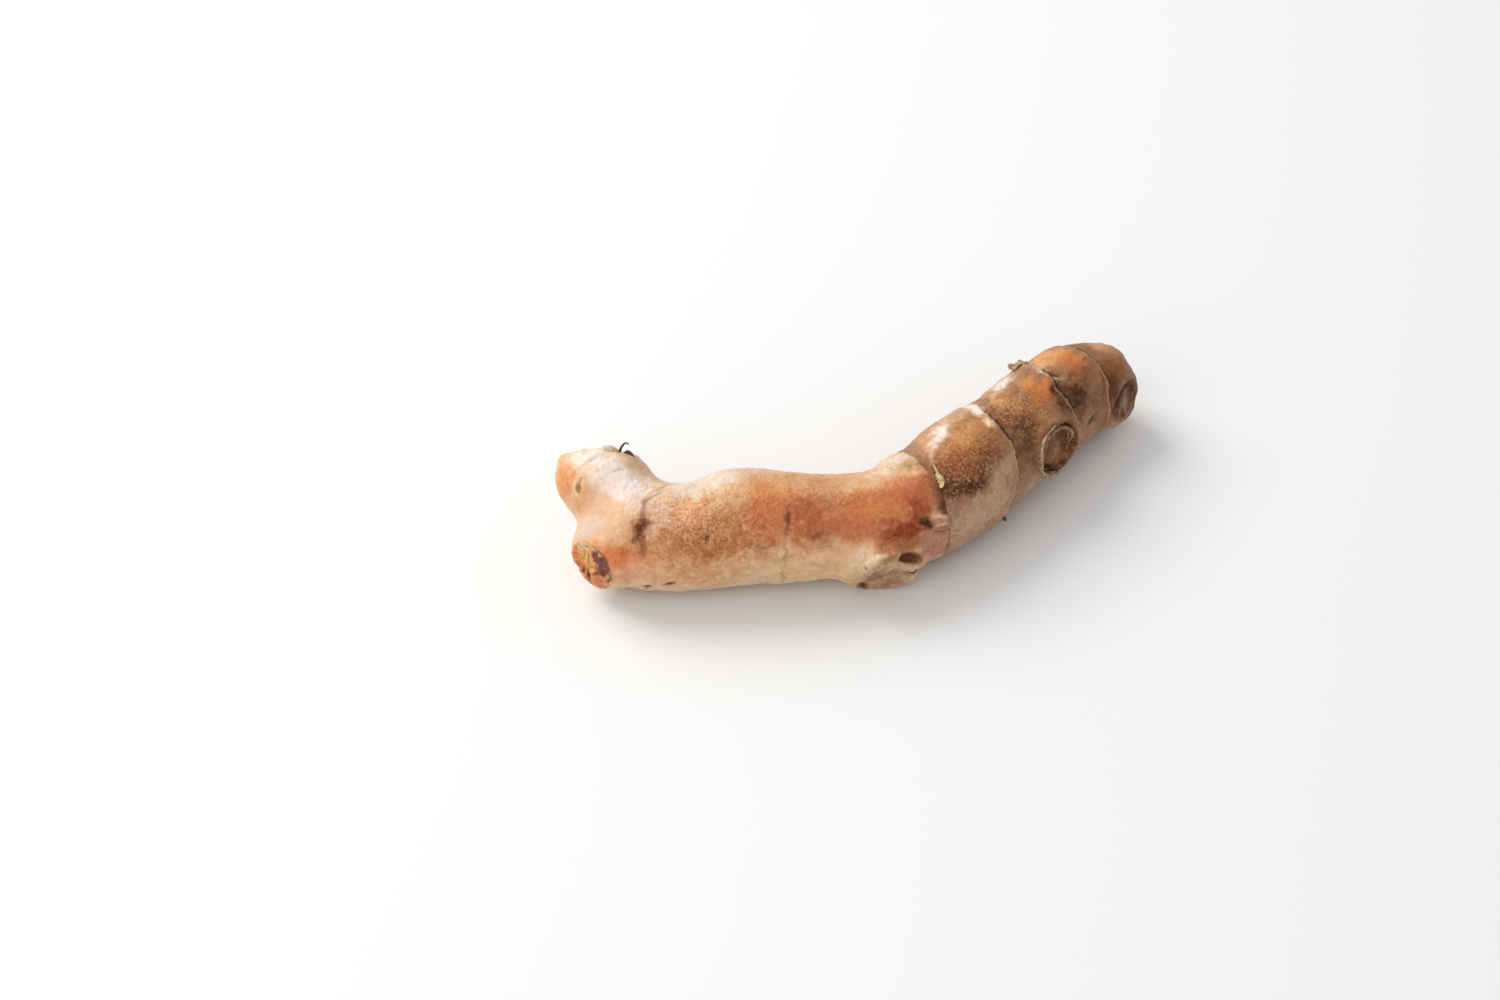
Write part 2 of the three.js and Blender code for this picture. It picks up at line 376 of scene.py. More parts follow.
def read_points(mesh):
    points = np.empty(len(mesh.vertices) * 3, np.float32)
    mesh.vertices.foreach_get("co", points)
    return points.reshape(-1, 3).astype(float) / MM + SHIFT


def read_normals(mesh):
    normals = np.empty(len(mesh.vertices) * 3, np.float32)
    mesh.vertex_normals.foreach_get("vector", normals)
    return normals.reshape(-1, 3).astype(float)


def write_points(mesh, points):
    mesh.vertices.foreach_set("co", ((points - SHIFT) * MM).astype(np.float32).ravel())
    mesh.update()


# The slopes that noise picks from, the odd numbers that scatter its picks over the lattice and the seeds,
# how far a seed shifts the lattice, and what brings the noise to about -1 to 1.
SLOPES = unit(np.random.default_rng(11).normal(size=(256, 3)))
ACROSS, ALONG, ABOVE, BY_SEED, SCATTER = 73856093, 19349663, 83492791, 40503, 2654435761
SEED_SHIFT = 7.31
NOISE_GAIN = 1.7


def noise(points, size, seed):
    """Gradient noise of about -1 to 1 with lumps of the given size: each corner of a lattice has its own
    slope, and the eight round a point are blended smoothly."""
    spot = points / size + seed * SEED_SHIFT
    cell = np.floor(spot).astype(np.int64)
    part = spot - cell
    fade = part**3 * (part * (part * 6 - 15) + 10)
    total = np.zeros(len(points))
    for corner in itertools.product((0, 1), repeat=3):
        x, y, z = (cell + corner).T
        key = x * ACROSS ^ y * ALONG ^ z * ABOVE ^ seed * BY_SEED
        key = (key ^ (key >> 11)) * SCATTER & 0xFFFFFFFF
        slope = SLOPES[(key >> 15) & 255]
        share = np.prod(np.where(corner, fade, 1 - fade), axis=1)
        total += share * (slope * (part - corner)).sum(1)
    return total * NOISE_GAIN


def drift(points, size, seed):
    """Three noises side by side, to move points by."""
    return np.stack([noise(points, size, seed + i) for i in range(3)], axis=1)


def bell(values, width):
    """1 at 0, falling as a bell to about a third at width on both sides."""
    return np.exp(-(values / width)**2)


def rise(values, low, high):
    """0 below low and 1 above high, with a smooth step between."""
    part = np.clip((values - low) / (high - low), 0, 1)
    return part * part * (3 - 2 * part)


def straight(place):
    """The place on a limb as if the limb were straight, so that a pattern can run along or round it."""
    around = place.radius * np.cos(place.angle), place.radius * np.sin(place.angle)
    return np.stack([place.along, *around], axis=1)


def ring_gap(ring, place, seed):
    """Signed distance of points from a ring's line, which wavers and is finely frayed."""
    line = straight(place) * (0.0, 1, 1) + ring.line[0][1]
    waver = 0.3 * noise(line, 2.6, seed) + 0.2 * noise(line, 0.8, seed + 1)
    return place.along - ring.at(place.angle) - waver


# How sharp a ring's step is, how far its lip and hollow reach, and the place and width of its groove.
RING_STEP = 0.16
LIP_REACH = 1.9
HOLLOW_REACH = 1.3
GROOVE_PLACE = 0.14
GROOVE_WIDTH = 0.24


def ring_relief(ring, gap, strength):
    """A lip that swells towards the line, a hollow that fades past it, and a groove along it."""
    step = 0.5 - 0.5 * np.tanh(gap / RING_STEP)
    lip = ring.lip * np.exp(-np.maximum(-gap, 0) / LIP_REACH) * step
    hollow = -0.5 * ring.lip * np.exp(-np.maximum(gap, 0) / HOLLOW_REACH) * (1 - step)
    groove = -ring.groove * bell(gap - GROOVE_PLACE, GROOVE_WIDTH)
    return (lip + hollow + groove) * strength


def patch(points, centre, wide, tall, turn, hard, depth=7.0):
    """A soft ellipse laid in the plane that faces the viewer: 1 at its centre and falling as a bell, steeper
    the higher hard is. It is turned by some degrees and reaches only depth in front and behind."""
    offset = points - centre
    right, up = offset[:, 0], offset @ UPWARD
    cos, sin = math.cos(math.radians(turn)), math.sin(math.radians(turn))
    away = ((right * cos + up * sin) / wide)**2 + ((up * cos - right * sin) / tall)**2
    return np.exp(-away**hard) * np.exp(-((offset @ TOWARD) / depth)**4)


def half_moon(points, centre, wide, tall, hard=3.5, depth=6.0):
    """A steep bell over the upper half of an ellipse that faces the viewer: 1 inside and 0 outside."""
    offset = points - centre
    up = offset @ UPWARD
    away = (offset[:, 0] / wide)**2 + (up / np.where(up < 0, 0.2 * tall, tall))**2
    return np.exp(-away**hard) * np.exp(-((offset @ TOWARD) / depth)**4)


# How far from its box a line is looked for, and the distance that stands for further off.
LINE_REACH = 3
FAR = 9.0


def line_gap(points, path):
    """Distance of points from a smooth curve through the places of a path, and how far along it they are
    from 0 to 1. Points out of its reach are left at FAR."""
    curve = spline(np.array(path, float), 6 * len(path))
    gap = np.full(len(points), FAR)
    part = np.zeros(len(points))
    low, high = curve.min(0) - LINE_REACH, curve.max(0) + LINE_REACH
    near = np.flatnonzero(((points > low) & (points < high)).all(1))
    found = points[near]
    for number, (start, end) in enumerate(zip(curve[:-1], curve[1:])):
        step = end - start
        share = np.clip((found - start) @ step / (step @ step), 0, 1)
        away = np.linalg.norm(found - start - share[:, None] * step, axis=1)
        closer = away < gap[near]
        gap[near[closer]] = away[closer]
        part[near[closer]] = (number + share[closer]) / (len(curve) - 1)
    return gap, part


# Broad to fine lumps all over the skin, as (height, size, seed).
LUMPS = [(0.16, 8.0, 1), (0.1, 3.6, 2), (0.06, 1.6, 3), (0.05, 0.8, 4)]

# Swellings as (limb, distance along, angle round, height, reach along, reach round).
SWELLS = [
    ("body", 17.5, 95, 1.1, 5, 7),
    ("body", 45, 25, 0.9, 6, 8),
    ("body", 47, 115, 0.15, 3.5, 6),
    ("long_finger", 12, 150, 0.6, 6, 8),
]

# The half-moon hole in the lower knob, one millimetre deep, as (place, half width, height).
KNOB_HOLE = ((10.4, -11.2, 9.5), 2.1, 1.6)

# Pits as (place, wide, tall, turn, depth, hardness). A small knob's depth is negative.
PITS = [
    ((-23.9, -11.6, 15.4), 0.42, 0.5, 0, 0.35, 1.6),
    ((-10.1, -8.6, 17.6), 0.6, 1.35, 4, 0.22, 1.6),
    ((12.9, -6.4, 14.0), 1.3, 1.0, 5, 0.6, 2.4),
    ((-33.8, -13.1, 5.3), 0.8, 0.3, 0, 0.3, 1.5),
    ((-30.3, -14.0, 7.0), 1.1, 0.3, 12, 0.3, 1.5),
    ((15.4, -5.7, 13.3), 1.5, 1.1, 0, -0.45, 3.0),
    ((2.2, -8.9, 1.6), 0.6, 0.4, 0, 0.4, 1.5),
    ((2.8, -12.3, 9.3), 0.22, 0.22, 0, 0.2, 1.5),
    ((2.5, -11.4, 7.1), 0.22, 0.22, 0, 0.2, 1.5),
    ((9.6, -12.3, 8.2), 1.3, 0.9, 0, -0.35, 2.0),
    ((-45.6, -2.3, 18.0), 0.5, 0.9, -12, 0.2, 1.8),
    ((-45.7, -8.8, 6.2), 1.0, 0.8, -25, 0.55, 1.6),
    ((-41.3, -12.6, 9.6), 1.25, 1.7, 16, 0.4, 3.5),
    ((51.1, 33.2, 10.0), 0.4, 0.5, 0, 0.3, 1.5),
    ((36.7, 23.6, 17.7), 0.9, 1.4, -30, 0.35, 1.4),
    ((38.9, 17.7, 10.6), 1.1, 2.2, 0, 0.6, 1.5),
    ((35.8, 14.7, 11.8), 1.0, 1.8, 0, -0.35, 1.5),
    ((35.0, 13.0, 8.9), 0.9, 0.4, 10, 0.7, 1.6),
    ((37.9, 16.0, 7.7), 0.5, 0.35, 0, 0.5, 1.6),
    ((36.6, 14.6, 7.0), 0.45, 0.3, 0, -0.4, 1.6),
    ((38.6, 16.6, 8.9), 0.4, 0.6, 10, -0.4, 1.6),
    ((5.2, -12.2, 10.6), 2.2, 0.8, 22, -0.45, 1.3),
    ((-35.4, -10.8, 15.9), 1.0, 2.0, 0, 0.15, 1.2),
    ((-31.9, -0.2, 18.0), 1.6, 0.8, 0, 0.15, 1.2),
]

# Crumpled spots as (place, wide, tall, turn, height, size of the folds).
CRUMPLES = [
    ((9.5, 3.2, 18.7), 5.5, 2.4, 12, 0.4, 1.5),
    ((13.6, 4.6, 19.2), 2.0, 2.6, 0, 0.35, 1.0),
    ((3.6, -11.0, 8.0), 5.0, 4.0, 0, 0.3, 1.3),
    ((-33.0, -3.5, 18.4), 4.5, 3.0, 0, 0.15, 1.0),
    ((19.0, -1.0, 14.0), 6.0, 3.0, 35, 0.12, 0.8),
    ((33.5, 26.5, 18.5), 4.5, 1.6, -10, 0.25, 1.0),
]

# Folds and seams as (width, depth, darkness, points). Depth below 0 is a thin raised edge, pale when its
# darkness is below 0. Darkness is partly a fold's own brown and partly painted shade in it, and the pale is
# partly dry skin and partly a painted highlight.
SEAMS = [
    (0.35, 0.9, 1.9, [(9.6, -10.8, 6.6), (10.6, -10.6, 6.1), (11.0, -10.4, 6.6), (11.4, -10.2, 7.0),
                      (12.1, -9.3, 7.2)]),
    (0.5, -0.3, -0.3, [(9.6, -11.1, 7.9), (10.3, -11.0, 7.8), (11.0, -10.6, 7.9), (11.6, -10.0, 7.9)]),
    (0.3, 0.3, 0.6, [(3.0, -9.4, 2.9), (4.0, -10.4, 5.3), (5.1, -10.9, 6.6), (6.2, -11.1, 7.5),
                     (7.6, -11.4, 8.4)]),
    (0.4, -0.3, -0.3, [(4.1, -8.8, 1.9), (5.4, -9.6, 3.7), (6.7, -9.9, 4.8), (8.0, -10.2, 5.8)]),
    (0.35, 0.25, 0.5, [(5.2, -11.8, 9.1), (6.5, -12.0, 9.8), (7.8, -12.4, 10.8)]),
    (0.35, 0.2, 0.3, [(8.5, 4.6, 18.2), (9.5, 5.3, 18.3), (10.7, 4.7, 18.6), (11.6, 3.4, 18.8)]),
    (0.45, 0.2, 0.3, [(8.0, 1.8, 18.6), (9.2, 2.3, 18.8), (10.4, 1.9, 19.0), (11.2, 0.9, 19.0)]),
    (0.8, -0.45, -0.5, [(2.0, -9.8, 4.4), (2.5, -11.0, 7.4), (3.8, -12.4, 10.1), (5.4, -12.4, 11.5)]),
    (0.55, 0.3, 0.2, [(-18.4, -12.3, 13.7), (-16.4, -12.0, 14.1), (-14.4, -12.2, 13.3), (-12.5, -11.8, 13.9),
                      (-10.0, -11.9, 13.3)]),
    (0.55, 0.3, 0.2, [(-8.3, -11.5, 13.7), (-5.8, -11.6, 12.8), (-3.3, -11.2, 12.9), (-0.7, -11.3, 11.6)]),
    (0.55, 0.25, 0.1, [(-16.7, -12.8, 11.4), (-14.2, -12.6, 11.9), (-11.7, -12.6, 11.0), (-9.2, -12.2, 11.8),
                       (-6.6, -12.1, 10.9)]),
    (0.5, 0.22, 0.1, [(-8.8, -12.4, 9.6), (-6.3, -12.1, 10.0), (-3.9, -11.7, 8.5), (-1.6, -11.7, 9.4)]),
    (0.5, 0.25, 0.1, [(-25.1, -13.5, 12.0), (-23.1, -13.1, 12.6), (-21.4, -13.2, 11.6),
                      (-19.2, -12.9, 12.2)]),
    (0.25, 0.12, 0.25, [(-44.7, -1.3, 20.0), (-45.3, -1.6, 19.3), (-45.9, -1.9, 18.4), (-46.0, -2.3, 17.4)]),
    (0.22, -0.16, -1.1, [(-46.0, -1.2, 19.1), (-46.3, -1.8, 18.2), (-46.2, -2.4, 17.2), (-45.6, -2.9, 16.7),
                         (-44.9, -3.4, 16.4)]),
    (0.2, -0.12, -0.8, [(-44.5, -1.4, 20.1), (-44.9, -1.9, 19.4), (-45.0, -2.4, 18.5)]),
    (0.25, -0.3, -0.9, [(14.0, -5.6, 14.6), (15.4, -5.1, 14.4), (16.6, -3.7, 12.9)]),
    (0.25, -0.2, -0.6, [(14.4, -5.9, 13.3), (15.3, -5.7, 13.5), (16.3, -4.8, 12.7)]),
    (0.25, 0.3, 0.9, [(14.0, -6.6, 12.5), (15.4, -6.1, 12.1), (16.6, -5.0, 11.5)]),
    (0.4, -0.5, -0.4, [(8.8, -12.2, 9.6), (10.0, -11.6, 8.9), (11.2, -10.7, 8.1), (12.2, -9.3, 7.3)]),
    (0.2, 0.1, 0.7, [(8.2, -12.2, 10.5), (9.3, -11.4, 10.8), (10.5, -10.5, 10.6), (11.5, -9.8, 9.4)]),
    (0.35, 0.18, 0.45, [(-29.9, -2.0, 18.2), (-31.8, -3.8, 18.6), (-33.2, -4.8, 18.7), (-34.3, -6.0, 18.6),
                        (-35.0, -6.9, 18.3)]),
    (0.3, 0.18, 0.4, [(-30.6, -0.6, 17.6), (-31.7, -2.5, 18.4), (-32.5, -2.9, 18.5)]),
    (0.25, 0.2, 0.5, [(-32.3, -5.8, 18.6), (-32.6, -7.3, 18.4), (-31.4, -6.7, 18.5)]),
    (0.25, 0.3, 0.8, [(-45.5, -9.6, 12.3), (-44.7, -10.1, 12.8), (-43.5, -11.1, 13.0), (-42.3, -12.2, 12.7),
                      (-41.1, -13.0, 12.2), (-39.8, -13.5, 11.3)]),
    (0.2, 0.3, 0.9, [(-41.0, -12.9, 5.7), (-40.6, -13.3, 7.0), (-40.0, -14.2, 8.6)]),
    (0.25, 0.3, 0.8, [(-44.1, -9.8, 6.7), (-44.0, -10.0, 5.3), (-44.2, -10.1, 4.3)]),
    (0.4, 0.16, 0.1, [(-44.9, 0.2, 21.0), (-43.8, 0.8, 21.5), (-42.7, 1.4, 21.9), (-42.0, 2.8, 22.1)]),
    (0.4, 0.16, 0.1, [(-40.3, -1.4, 20.6), (-38.9, -0.6, 20.8), (-37.4, -0.0, 20.5)]),
    (0.5, 0.6, 1.0, [(34.3, 27.5, 18.5), (35.7, 27.6, 18.5), (36.9, 27.2, 18.3), (38.0, 26.5, 18.0)]),
    (0.35, -0.35, -0.8, [(35.0, 26.4, 18.5), (36.4, 26.4, 18.3), (37.8, 26.7, 18.0)]),
    (0.5, 0.5, 0.8, [(44.4, 25.2, 11.5), (43.5, 23.9, 11.0), (42.7, 22.9, 10.3), (42.4, 22.4, 9.2)]),
    (0.35, 0.2, 0.45, [(44.3, 31.5, 16.8), (45.2, 30.0, 15.7), (45.5, 28.5, 14.2), (45.3, 27.2, 13.0)]),
    (0.6, 1.1, 1.4, [(50.8, 32.8, 11.7), (49.6, 31.4, 11.5), (48.9, 30.1, 11.0), (48.3, 29.1, 10.1),
                     (48.0, 28.4, 9.0), (48.3, 28.7, 7.6)]),
    (0.5, -0.3, -0.2, [(50.1, 32.1, 11.0), (49.3, 30.8, 10.2), (49.0, 30.1, 8.7), (48.9, 29.7, 7.4)]),
    (0.35, -0.3, -1.0, [(23.6, 14.2, 19.4), (24.2, 13.3, 19.4), (24.8, 12.4, 19.2)]),
    (0.3, 0.16, 0.5, [(26.5, 5.1, 15.3), (27.4, 5.0, 13.9), (27.0, 4.2, 13.3)]),
    (0.4, 0.35, 0.9, [(14.2, 3.2, 19.2), (14.8, 1.1, 18.8), (15.6, -1.0, 17.9), (15.5, -2.7, 16.7),
                      (16.1, -3.8, 15.0)]),
    (0.5, 0.6, 1.1, [(34.0, 11.8, 10.4), (35.4, 13.4, 8.3), (37.0, 14.8, 6.9), (38.1, 15.9, 7.1)]),
]


# How rough each limb's broken face is, where it has one.
FACE_ROUGH = {"body": 0, "left_stub": 1.0, "lower_knob": 0.8, "short_finger": 0.4, "long_finger": 0,
              "side_scar": 1.0, "tip_bud": 0.4}

# The side scar's rims and the crack between them, as distances from the middle of its face.
SCAR_OUTER = 4.9
SCAR_CRACK = 4.35
SCAR_INNER = 3.9


def face_lumps(points):
    """The torn lumps of a broken face: rounded tops with sharp valleys between them, of two sizes."""
    big = 0.5 - np.abs(noise(points, 1.6, 40))
    small = 0.5 - np.abs(noise(points, 0.7, 50))
    return -0.42 * big - 0.2 * small + 0.1 * noise(points, 0.4, 51)


def scar_rings(place, points):
    """For the side scar's face, how far points lie from its middle, swayed, and how strong its left and its
    upper rim are there. Angles run from the left over the top."""
    out = place.out + 0.22 * noise(points, 1.4, 44) + 0.12 * noise(points, 0.5, 45)
    left = np.clip(0.6 + np.cos(place.angle), 0, 1)
    upper = np.clip(0.55 + np.cos(place.angle - 1.4), 0, 1)
    return out, left, upper


def scar_relief(place, points):
    """The side scar's face: a thick rim at its left, a thin one inside it that runs over the top, a crack
    between them, a sunk disc and a ragged hollow below it."""
    out, left, upper = scar_rings(place, points)
    low = np.clip(-0.2 - np.sin(place.angle - 0.2), 0, 1)
    rims = 0.75 * bell(out - SCAR_OUTER, 0.45) * left + 0.35 * bell(out - SCAR_INNER, 0.22) * upper
    crack = -0.55 * bell(out - SCAR_CRACK, 0.22) * np.maximum(left, upper)
    disc = -0.45 * rise(-out, -3.8, -3.2) + 0.3 * bell(out, 1.8)
    hollow = -0.9 * low * bell(out - SCAR_INNER, 0.9)
    return rims + crack + disc + hollow


def stub_rounding(place, length):
    """A broken stub's end: its face bulges a little and its rim is worn round."""
    face = 1 - np.clip(place.out / place.radius, 0, 1)**2
    past = rise(place.along, length - 1.6, length - 0.4)
    corner = np.hypot(place.out - place.radius, place.along - length)
    return 0.6 * face * past - 0.35 * bell(corner, 0.9)


def wrinkles(skin, points):
    """Fine creases that run along each limb, waver, and fade in and out: 1 in the middle of one."""
    total = np.zeros(len(points))
    wander = 0.3 * noise(points, 0.9, 26)
    shown = rise(noise(points, 3.2, 28), -0.15, 0.35)
    for number, (name, place) in enumerate(skin.places.items()):
        line = np.abs(noise(straight(place) / (3.2, 1, 1), 1.5, 20 + number) + wander)
        total += bell(line, 0.1) * skin.shares[name] * (1 - skin.faces[name])
    return total * shown


def skin_relief(skin, points):
    """The height of the fine form over the joined limbs: lumps, wrinkles and folds that are deeper low down,
    swellings, rings, the rough broken faces, pits, the half-moon hole, crumples and seams."""
    height = sum(high * noise(points, size, seed) for high, size, seed in LUMPS)
    low = 1 - rise(points[:, 2], 8.0, 13.0)
    height -= (0.1 + 0.12 * low) * wrinkles(skin, points)
    for number, (name, place) in enumerate(skin.places.items()):
        fold = noise(straight(place) / (2.2, 1, 1), 1.3, 90 + number)
        height += 0.08 * (1 + low) * fold * skin.shares[name] * (1 - skin.faces[name])
    for name, at, around, high, reach, wide in SWELLS:
        if name in skin.places:
            place = skin.places[name]
            turn = np.angle(np.exp(1j * (place.angle - math.radians(around))))
            away = ((place.along - at) / reach)**2 + (turn * place.radius / wide)**2
            height += high * np.exp(-away) * skin.shares[name]
    for name, place in skin.places.items():
        share = skin.shares[name]
        for order, ring in enumerate(LIMBS[name].rings):
            gap = ring_gap(ring, place, 30 + order)
            height += ring_relief(ring, gap, ring.strength(place.angle)) * share
        height += FACE_ROUGH[name] * face_lumps(points) * skin.faces[name] * share
    height += FACE_ROUGH["tip_bud"] * face_lumps(points) * skin.cut
    if "left_stub" in skin.places:
        rounding = stub_rounding(skin.places["left_stub"], LIMBS["left_stub"].length)
        height += rounding * skin.shares["left_stub"]
    if "side_scar" in skin.places:
        height += scar_relief(skin.places["side_scar"], points) * skin.faces["side_scar"]
    swayed = points + 0.16 * drift(points, 0.9, 60)
    for centre, wide, tall, turn, depth, hard in PITS:
        height -= depth * patch(swayed, centre, wide, tall, turn, hard, 3.0)
    height -= half_moon(swayed, *KNOB_HOLE)
    for number, (centre, wide, tall, turn, high, size) in enumerate(CRUMPLES):
        fold = 0.2 - np.abs(noise(points, size, 140 + number))
        height += high * fold * patch(points, centre, wide, tall, turn, 1.5)
    for width, depth, _, path in SEAMS:
        gap, part = line_gap(points, path)
        taper = np.sqrt(np.clip(4 * part * (1 - part) + 0.1, 0, 1))
        height -= depth * taper * bell(gap, width)
    return height


# The furthest that a settling step moves a corner, how far off a loose corner is, how many rows of its
# neighbours count as loose too, and how often these are smoothed.
FURTHEST_STEP = 0.8
LOOSE_GAP = 0.15
LOOSE_ROWS = 5
SMOOTH_ROUNDS = 60


def settle(mesh, names, steps=4):
    """Moves the corners of a rough mesh along their normals until they lie on the smooth join. Before each
    step but the last, every corner moves half of the way to the mean of its neighbours. Where a limb bends
    so tightly that its join jumps, the corners that are still off and those near them are smoothed."""
    ends = np.empty(len(mesh.edges) * 2, np.int32)
    mesh.edges.foreach_get("vertices", ends)
    start, end = ends.reshape(-1, 2).T
    count = np.bincount(ends, minlength=len(mesh.vertices))

    def around(values):
        return np.bincount(start, values[end], len(values)) + np.bincount(end, values[start], len(values))

    def neighbours(points):
        return np.stack([around(points[:, i]) for i in range(3)], axis=1) / count[:, None]

    for step in range(steps):
        points = read_points(mesh)
        if step < steps - 1:
            points = (points + neighbours(points)) / 2
            write_points(mesh, points)
        skin = Skin(names, points)
        points = points - np.clip(skin.gap, -FURTHEST_STEP, FURTHEST_STEP)[:, None] * read_normals(mesh)
        write_points(mesh, points)
    loose = (np.abs(Skin(names, points).gap) > LOOSE_GAP).astype(float)
    for _ in range(LOOSE_ROWS):
        loose = np.maximum(loose, around(loose) > 0)
    for _ in range(SMOOTH_ROUNDS):
        points = np.where(loose[:, None] > 0, neighbours(points), points)
    write_points(mesh, points)


# Colours as seen, from 0 to 255.
PALETTE = {
    # The near-white is laid only as painted highlights.
    "cream": (246, 233, 221), "painted_sheen": (250, 244, 244), "peach": (238, 194, 156),
    "pink": (226, 188, 166), "tan": (213, 161, 115), "amber": (210, 147, 97),
    "apricot": (236, 166, 108), "honey": (212, 156, 98), "orange": (214, 126, 72),
    "russet": (206, 120, 70), "rust": (188, 98, 58), "brick": (140, 56, 26), "ochre": (188, 136, 62),
    "clay": (214, 156, 120), "sand": (222, 186, 144), "olive": (190, 160, 118), "mauve": (178, 122, 98),
    "umber": (132, 81, 48), "coffee": (84, 51, 32), "taupe": (192, 158, 130), "dusk": (146, 114, 92),
    "plum": (108, 58, 60), "bark": (62, 38, 24), "melon": (242, 184, 138), "lemon": (230, 186, 96),
    "flame": (226, 108, 52), "shell": (226, 200, 170), "stain": (112, 46, 22),
    "russet_brown": (168, 100, 60), "rose": (222, 176, 144), "bread": (228, 164, 108),
    "sun": (206, 124, 58), "haze": (212, 192, 175), "copper": (194, 122, 76), "chestnut": (84, 42, 20),
    "milk": (232, 221, 208), "moss": (156, 118, 66), "bracken": (120, 82, 46),
    "sun_warm": (236, 166, 98),
}

# The tones under the patches: two that mix, one for where the skin faces down, and the clouds' at the back.
BODY_TONES = ((232, 190, 152), (218, 172, 132), (224, 198, 168), ("orange", "cream", "amber"))
FINGER_TONES = ((162, 116, 80), (138, 96, 66), (176, 146, 120), ("russet", "taupe", "ochre"))

# The light and the dark tone of each kind of dry scrap.
SCRAP_TONES = {
    "straw_scrap": ((228, 208, 152), (160, 124, 74)),
    "paper_scrap": ((204, 174, 140), (120, 84, 58)),
    "cork_scrap": ((224, 208, 180), (186, 160, 124)),
    "husk_scrap": ((112, 78, 52), (50, 30, 20)),
}

# What the skin's colour is multiplied by as painted shade, in its grain's hollows and beside its dark lines,
# and in its cloudy patches.
PAINTED_SHADE_TINT = (186, 156, 132)
CLOUD_TINT = (232, 212, 188)
